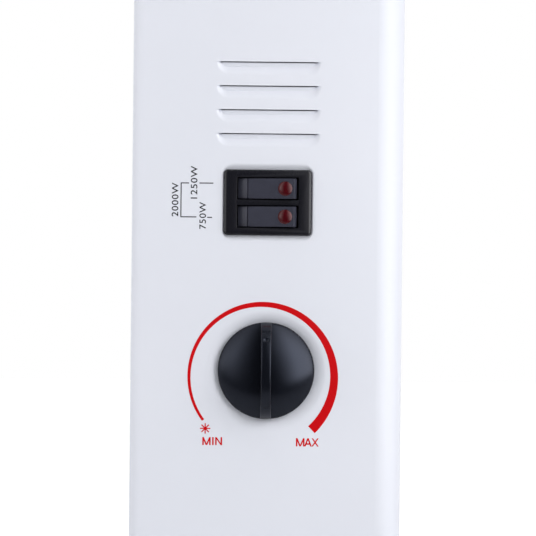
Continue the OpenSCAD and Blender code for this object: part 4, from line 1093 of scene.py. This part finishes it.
right_turn = end_turn_of(FACE_TILT, 1)
left_turn = 180 - end_turn_of(PAD_TILT, -1)
foot_turn = math.degrees(math.asin(-ROCKER_FOOT / ROCKER_R))
groove = [(CREASE_X + GROOVE, CREASE_Z + GROOVE * math.tan(FACE_TILT)), (CREASE_X, CREASE_Z - 2 * GROOVE),
          (CREASE_X - GROOVE, CREASE_Z - GROOVE * math.tan(PAD_TILT))]
section = (arc(ROCKER_R, -foot_turn, right_turn, 12) + groove
           + arc(ROCKER_R, left_turn, 180 + foot_turn, 12))
print("rocker faces end at", round(right_turn), "and", round(left_turn), "degrees")

# %% [markdown]
# The rocker's edges are only just broken, and the lens, a low cap on a short round stem, sits in a hole
# square to the long face. Each lens is part of its rocker and rides with it.

# %% Rockers and lenses
EDGE_BREAK = 0.15
LENS_R = 2.6
LENS_X = 6.3
LENS_RISE = 0.95
LENS_SEAT = 1.8
LENS_PLAY = 0.06
STEM_FOOT = 0.05 - LENS_SEAT
face_matrix = Matrix.Translation((LENS_X, 0, CREASE_Z + (LENS_X - CREASE_X) * math.tan(FACE_TILT)))
face_matrix = face_matrix @ Matrix.Rotation(-FACE_TILT, 4, "Y")
lens_ball = bow_radius(LENS_R, LENS_RISE)


def rocker(row, number, body):
    """One rocker with its lens."""
    lever = drawn_out(section, ROCKER_H)
    lever.data.transform(Matrix.Rotation(math.radians(90), 4, "Z"))
    lever.data.transform(Matrix.Scale(-1, 4, (1, 0, 0)))
    edit(lever)
    tidy_normals()
    at_side = all_at(lambda p: abs(abs(p.y) - ROCKER_H / 2) < NEAR)
    round_edges(lever, EDGE_BREAK, lambda e: at_side(e) and e.verts[0].co.y * e.verts[1].co.y > 0
                and max(v.co.z for v in e.verts) > 0.3, 2)
    drill = cylinder(LENS_R + LENS_PLAY, -LENS_SEAT, LENS_SEAT)
    drill.data.transform(face_matrix)
    cut_with(lever, drill)
    radii = [LENS_R * i / 16 for i in range(17)]
    cap = [(r, LENS_RISE - lens_ball + math.sqrt(lens_ball ** 2 - r ** 2)) for r in radii]
    lens = turned(cap + [(LENS_R, STEM_FOOT), (0, STEM_FOOT)])
    lens.data.transform(face_matrix)
    place = CONTROL_FACE @ Matrix.Translation((0, row, PIVOT_Z))
    deliver(lever, f"rocker_{number}", "rocker_grey", place, f"rocker_{number}", body)
    deliver(lens, f"lens_{number}", "red_lens", place, f"lens_{number}", body)


rocker(rows[0], "1250w", "rocker_upper")
rocker(rows[1], "750w", "rocker_lower")

# %% [markdown]
# ## Markings
# The marks are screen printed: ink a few hundredths of a millimetre thick, crisp at its edges. The red
# scale is a band that grows from MIN to MAX. Its centre lies a little off the knob's axis, as on the
# real panel. It starts as one short line, is spun round, and is then given its width.

# %% Inks
surface("red_ink", "red_screen_ink", "#D00A12", "#C9070F", 6, (0.55, 0.62), 0.5, 0.001,
        Specular_IOR_Level=0.04)
surface("grey_ink", "dark_grey_screen_ink", "#1E1F25", "#1A1B21", 6, (0.55, 0.62), 0.5, 0.001,
        Specular_IOR_Level=0.1)
INK = 0.03


def ink_film(piece):
    """Turns a flat mark to face out and gives it its thin film of ink."""
    edit(piece)
    pick("FACE", lambda f: f.normal.z < 0)
    bpy.ops.mesh.flip_normals()
    modify(piece, "SOLIDIFY", thickness=INK, offset=1)


def lay(piece, name, ink):
    """Lays a mark of ink on the sheet."""
    deliver(piece, name, "painted_sheet", CONTROL_FACE, finish=ink)


# %% The red scale
SCALE_R = 26.4
SCALE_AT = (-1.6, -2.3)
SCALE_FROM = 217
SCALE_TURN = 263
SCALE_THIN = 1.0
SCALE_GROWTH = 2.5
start = math.radians(SCALE_FROM)
out = Vector((math.cos(start), math.sin(start), 0))
centre = Vector((*SCALE_AT, 0))
scale_band = profile([centre + out * (SCALE_R - SCALE_THIN / 2), centre + out * (SCALE_R + SCALE_THIN / 2)])
bpy.ops.mesh.spin(steps=180, angle=math.radians(SCALE_TURN), center=centre, axis=(0, 0, 1))
tidy_normals()
clear()
for v in scale_band.data.vertices:
    spoke = v.co - centre
    part = ((start - math.atan2(spoke.y, spoke.x)) % (2 * math.pi)) / math.radians(SCALE_TURN)
    part = 0 if part > 1.05 else part
    width = SCALE_THIN + SCALE_GROWTH * part ** 1.5
    v.co = centre + spoke.normalized() * (SCALE_R + math.copysign(width / 2, spoke.length - SCALE_R))
ink_film(scale_band)
lay(scale_band, "red_scale", "red_ink")

# %% [markdown]
# At the scale's start stands a snowflake mark of eight spokes. It is a disc of 24 corners: three for
# each spoke, two at its tip and one in the notch beside it.

# %% Snowflake mark
FLAKE_AT = (-21.9, -21.2)
FLAKE_R = 1.9
SPOKE_W = 0.42
notch_r = SPOKE_W / 2 / math.tan(math.radians(22.5))
clear()
bpy.ops.mesh.primitive_circle_add(vertices=24, radius=FLAKE_R, fill_type="NGON", location=(*FLAKE_AT, 0))
flake = bpy.context.object
for i, v in enumerate(flake.data.vertices):
    along = notch_r if i % 3 == 2 else FLAKE_R
    across = -SPOKE_W / 2 if i % 3 == 0 else SPOKE_W / 2
    v.co = Matrix.Rotation(math.radians(45 * (i // 3)), 3, "Z") @ Vector((along, across, 0))
ink_film(flake)
lay(flake, "snowflake_mark", "red_ink")

# %% [markdown]
# The wattages are Blender's own sans figures, made a mesh, turned to read upwards and then fitted to
# the height and length measured on the panel. MIN and MAX have only straight strokes, and are bolder
# than those letters, so they are built from bars with level ends.

# %% Wattages
FIGURE_H = 2.4
FIGURE_WEIGHT = 0.022


def wattage(number, at, length):
    """A printed wattage of this length that reads upwards, centred at a place of the sheet."""
    clear()
    bpy.ops.object.text_add(location=(0, 0, 0))
    word = bpy.context.object
    word.data.body = f"{number}W"
    word.data.size = FIGURE_H * 1.4
    word.data.offset = FIGURE_WEIGHT
    word.data.space_character = 1.1
    bpy.ops.object.convert(target="MESH")
    word = bpy.context.object
    points = [v.co for v in word.data.vertices]
    low = Vector((min(p.x for p in points), min(p.y for p in points), 0))
    high = Vector((max(p.x for p in points), max(p.y for p in points), 0))
    fit = Matrix.Diagonal((length / (high.x - low.x), FIGURE_H / (high.y - low.y), 1, 1))
    turn = Matrix.Rotation(math.radians(90), 4, "Z")
    word.data.transform(Matrix.Translation((*at, 0)) @ turn @ fit @ Matrix.Translation(-(low + high) / 2))
    edit(word)
    bpy.ops.mesh.select_all(action="SELECT")
    bpy.ops.mesh.remove_doubles(threshold=0.0001)
    ink_film(word)
    lay(word, f"wattage_{number}", "grey_ink")


# %% Letters from bars
STROKE = 0.55
letter_bars = {
    "M": (0.86, [(0, 0, 0, 1), (0, 1, 0.43, 0), (0.43, 0, 0.86, 1), (0.86, 0, 0.86, 1)]),
    "I": (0, [(0, 0, 0, 1)]),
    "N": (0.68, [(0, 0, 0, 1), (0, 1, 0.68, 0), (0.68, 0, 0.68, 1)]),
    "A": (0.74, [(0, 0, 0.37, 1), (0.37, 1, 0.74, 0), (0.17, 0.3, 0.57, 0.3)]),
    "X": (0.7, [(0, 0, 0.7, 1), (0, 1, 0.7, 0)]),
}


def bar(x0, y0, x1, y1):
    """A flat bar of ink between two points, with level ends."""
    stroke = flat_plate((1, 1))
    for v in stroke.data.vertices:
        if y0 == y1:
            v.co = ((x1 if v.co.x > 0 else x0), y0 + v.co.y * STROKE, 0)
        else:
            v.co = ((x1 if v.co.y > 0 else x0) + v.co.x * STROKE, (y1 if v.co.y > 0 else y0), 0)
    ink_film(stroke)
    return stroke


def stroke_word(word, at, length, height):
    """A red word of straight letters with this length and cap height, centred at a place of the sheet."""
    widths = [letter_bars[letter][0] * height + STROKE for letter in word]
    gap = (length - sum(widths)) / (len(word) - 1)
    x = at[0] - length / 2 + STROKE / 2
    low = at[1] - height / 2
    bars = []
    for letter, width in zip(word, widths):
        for ax, ay, bx, by in letter_bars[letter][1]:
            bars.append(bar(x + ax * height, low + ay * height, x + bx * height, low + by * height))
        x += width + gap
    cut_with(bars[0], *bars[1:], how="UNION")
    lay(bars[0], f"word_{word.lower()}", "red_ink")


stroke_word("MIN", (-19.3, -25.8), 7.2, 2.9)
stroke_word("MAX", (15.3, -25.9), 8.3, 3.0)
wattage(2000, (-33.7, 61.9), 12.3)
wattage(1250, (-26.85, 68.25), 11.9)
wattage(750, (-23.6, 56.2), 9.8)

# %% Bracket lines
LINE_W = 0.36
bracket_lines = [
    (-31.55, 55.6, -31.55, 68.0), (-31.7, 67.97, -28.7, 67.97), (-24.9, 68.0, -19.85, 68.0),
    (-31.7, 55.65, -25.9, 55.65), (-21.95, 55.55, -20.2, 55.55),
]
for i, (ax, ay, bx, by) in enumerate(bracket_lines):
    stroke = flat_plate((max(bx - ax, LINE_W), max(by - ay, LINE_W)), ((ax + bx) / 2, (ay + by) / 2))
    ink_film(stroke)
    lay(stroke, f"bracket_line_{i + 1}", "grey_ink")

# %% [markdown]
# ## Light and stage
# A soft light to the right and above gives each pressing a light wall and a dark one. Weaker ones fill
# from above and from the left, and one beside each edge keeps the bends pale. None of them shows in a
# reflection: what the gloss shows is a separate board that only reflections see.

# %% Lights
def soft_light(name, place, size, radiance, aim=(0, 20, 0)):
    """A soft box at a place right of, above and out from the knob, in metres, aimed at the panel."""
    bpy.ops.object.light_add(type="AREA")
    lamp = bpy.context.object
    lamp.name = name
    lamp.data.shape = "RECTANGLE"
    lamp.data.size, lamp.data.size_y = size
    lamp.data.energy = radiance * math.pi * size[0] * size[1]
    lamp.visible_camera = False
    lamp.visible_glossy = False
    here = CONTROL_FACE @ (Vector(place) / MM)
    there = CONTROL_FACE @ Vector(aim)
    facing = (here - there).to_track_quat("Z", "Y").to_matrix().to_4x4()
    lamp.matrix_world = Matrix.Translation(here) @ facing
    print(name, "at", place)


clear()
soft_light("key_light", (1.05, 0.65, 0.9), (1.0, 1.0), 3.75)
soft_light("overhead_light", (0.2, 1.6, 0.7), (1.3, 1.3), 0.9)
soft_light("left_light", (-1.5, 0.3, 0.6), (0.6, 1.0), 1.9)
soft_light("right_rim_light", (1.4, 0.3, -0.15), (0.6, 1.0), 0.5)
soft_light("left_rim_light", (-1.4, 0.3, -0.15), (0.6, 1.0), 2.2)

# %% [markdown]
# Black plastic is photographed with a card that its gloss can show. This board stands on the floor a
# hand's width in front of the panel: a broad bright field on its right that starts along a slant, and a
# weaker one on its left. The right one fades out quickly below, the left one slowly, and both weaken
# upwards. Under them and a dark gap the board is dimly lit, as a table top is, and the edge of that
# part draws the curved line across the knob's lower half. Each change is a smooth ramp: where it starts
# and stops, in metres from the knob, and its level before and after.

# %% Reflection board
BOARD_AT = 0.1
BOARD_W = 1.5
BOARD_H = 0.8
BOARD_LOW = -0.15
RIGHT_SLANT = 0.3
SLANT_TOP = 0.08
board = flat_plate((1, 1))
board.name = "reflection_board"
for v in board.data.vertices:
    v.co = (v.co.x * BOARD_W, BOARD_LOW + (v.co.y + 0.5) * BOARD_H, BOARD_AT)
board.matrix_world = CONTROL_FACE @ Matrix.Scale(1 / MM, 4)
board_face = bpy.data.materials.new("reflection_board_face")
board_face.use_nodes = True
field = board_face.node_tree
field.nodes.clear()
place = add_node(field, "ShaderNodeSeparateXYZ",
                 {0: add_node(field, "ShaderNodeTexCoord", {}).outputs["Object"]})
across, height = place.outputs[:2]
low_part = add_node(field, "ShaderNodeMath", {0: height, 1: SLANT_TOP}, operation="MINIMUM")
slanted = add_node(field, "ShaderNodeMath", {0: low_part.outputs[0], 1: RIGHT_SLANT, 2: across},
                   operation="MULTIPLY_ADD")
ramps = {
    "right field": (slanted.outputs[0], 0.018, 0.155, 0.0, 7.3),
    "right edge": (height, -0.078, -0.015, 0.0, 1.0),
    "left field": (across, -0.03, -0.17, 0.0, 3.4),
    "left edge": (height, -0.1, 0.09, 0.0, 1.0),
    "top fade": (height, 0.08, 0.35, 1.0, 0.55),
    "low field": (height, -0.085, -0.11, 0.0, 0.8),
}
level = {}
for name, (socket, start, stop, before, after) in ramps.items():
    level[name] = add_node(field, "ShaderNodeMapRange",
                           {"Value": socket, "From Min": start, "From Max": stop,
                            "To Min": before, "To Max": after},
                           interpolation_type="SMOOTHSTEP").outputs[0]
left_part = add_node(field, "ShaderNodeMath", {0: level["left field"], 1: level["left edge"]},
                     operation="MULTIPLY")
both_parts = add_node(field, "ShaderNodeMath",
                      {0: level["right field"], 1: level["right edge"], 2: left_part.outputs[0]},
                      operation="MULTIPLY_ADD")
glow = add_node(field, "ShaderNodeMath",
                {0: both_parts.outputs[0], 1: level["top fade"], 2: level["low field"]},
                operation="MULTIPLY_ADD")
lit = add_node(field, "ShaderNodeEmission", {"Strength": glow.outputs[0]})
add_node(field, "ShaderNodeOutputMaterial", {"Surface": lit.outputs[0]})
board.data.materials.append(board_face)
board.visible_camera = False
board.visible_diffuse = False
board.visible_shadow = False
board.visible_transmission = False
print("board", BOARD_W, "by", BOARD_H, "m with", len(ramps), "ramps")

# %% [markdown]
# The world lights the heater evenly and weakly, and is plain white where the camera, a reflection or
# glass looks at it. The floor is a pale matt plane that keeps the heater's shadow. It glows where the
# camera sees it, so that it looks nearly white there, and more weakly in reflections and through glass.

# %% World
WORLD_LEVEL = 0.43
world = bpy.data.worlds.new("studio")
bpy.context.scene.world = world
world.use_nodes = True
sky = world.node_tree
sky.nodes.clear()
path = add_node(sky, "ShaderNodeLightPath", {})
seen = add_node(sky, "ShaderNodeMath", {0: path.outputs["Is Camera Ray"], 1: path.outputs["Is Glossy Ray"]},
                operation="MAXIMUM")
shown = add_node(sky, "ShaderNodeMath", {0: seen.outputs[0], 1: path.outputs["Is Transmission Ray"]},
                 operation="MAXIMUM")
even = add_node(sky, "ShaderNodeBackground", {"Color": linear("#FFFFFF"), "Strength": WORLD_LEVEL})
white = add_node(sky, "ShaderNodeBackground", {"Color": linear("#FFFFFF"), "Strength": 1.0})
both = add_node(sky, "ShaderNodeMixShader", {0: shown.outputs[0], 1: even.outputs[0], 2: white.outputs[0]})
add_node(sky, "ShaderNodeOutputWorld", {"Surface": both.outputs[0]})
print("world level", WORLD_LEVEL)

# %% Floor
FLOOR_W = 8
FLOOR_LIFT = 0.66
MIRRORED_LIFT = 0.2
floor = flat_plate((FLOOR_W, FLOOR_W))
floor.name = "studio_floor"
floor_paint = bpy.data.materials.new("pale_studio_floor")
floor_paint.use_nodes = True
ground = floor_paint.node_tree
matt = ground.nodes["Principled BSDF"]
matt.inputs["Base Color"].default_value = linear("#F4F4F4")
matt.inputs["Roughness"].default_value = 0.9
matt.inputs["Specular IOR Level"].default_value = 0.1
path = add_node(ground, "ShaderNodeLightPath", {})
bounced = add_node(ground, "ShaderNodeMath",
                   {0: path.outputs["Is Glossy Ray"], 1: path.outputs["Is Transmission Ray"]},
                   operation="MAXIMUM")
mirrored = add_node(ground, "ShaderNodeMath", {0: bounced.outputs[0], 1: MIRRORED_LIFT},
                    operation="MULTIPLY")
lift = add_node(ground, "ShaderNodeMath",
                {0: path.outputs["Is Camera Ray"], 1: FLOOR_LIFT, 2: mirrored.outputs[0]},
                operation="MULTIPLY_ADD")
ground.links.new(lift.outputs[0], matt.inputs["Emission Strength"])
matt.inputs["Emission Color"].default_value = linear("#FFFFFF")
floor.data.materials.append(floor_paint)
print("floor", FLOOR_W, "m wide")
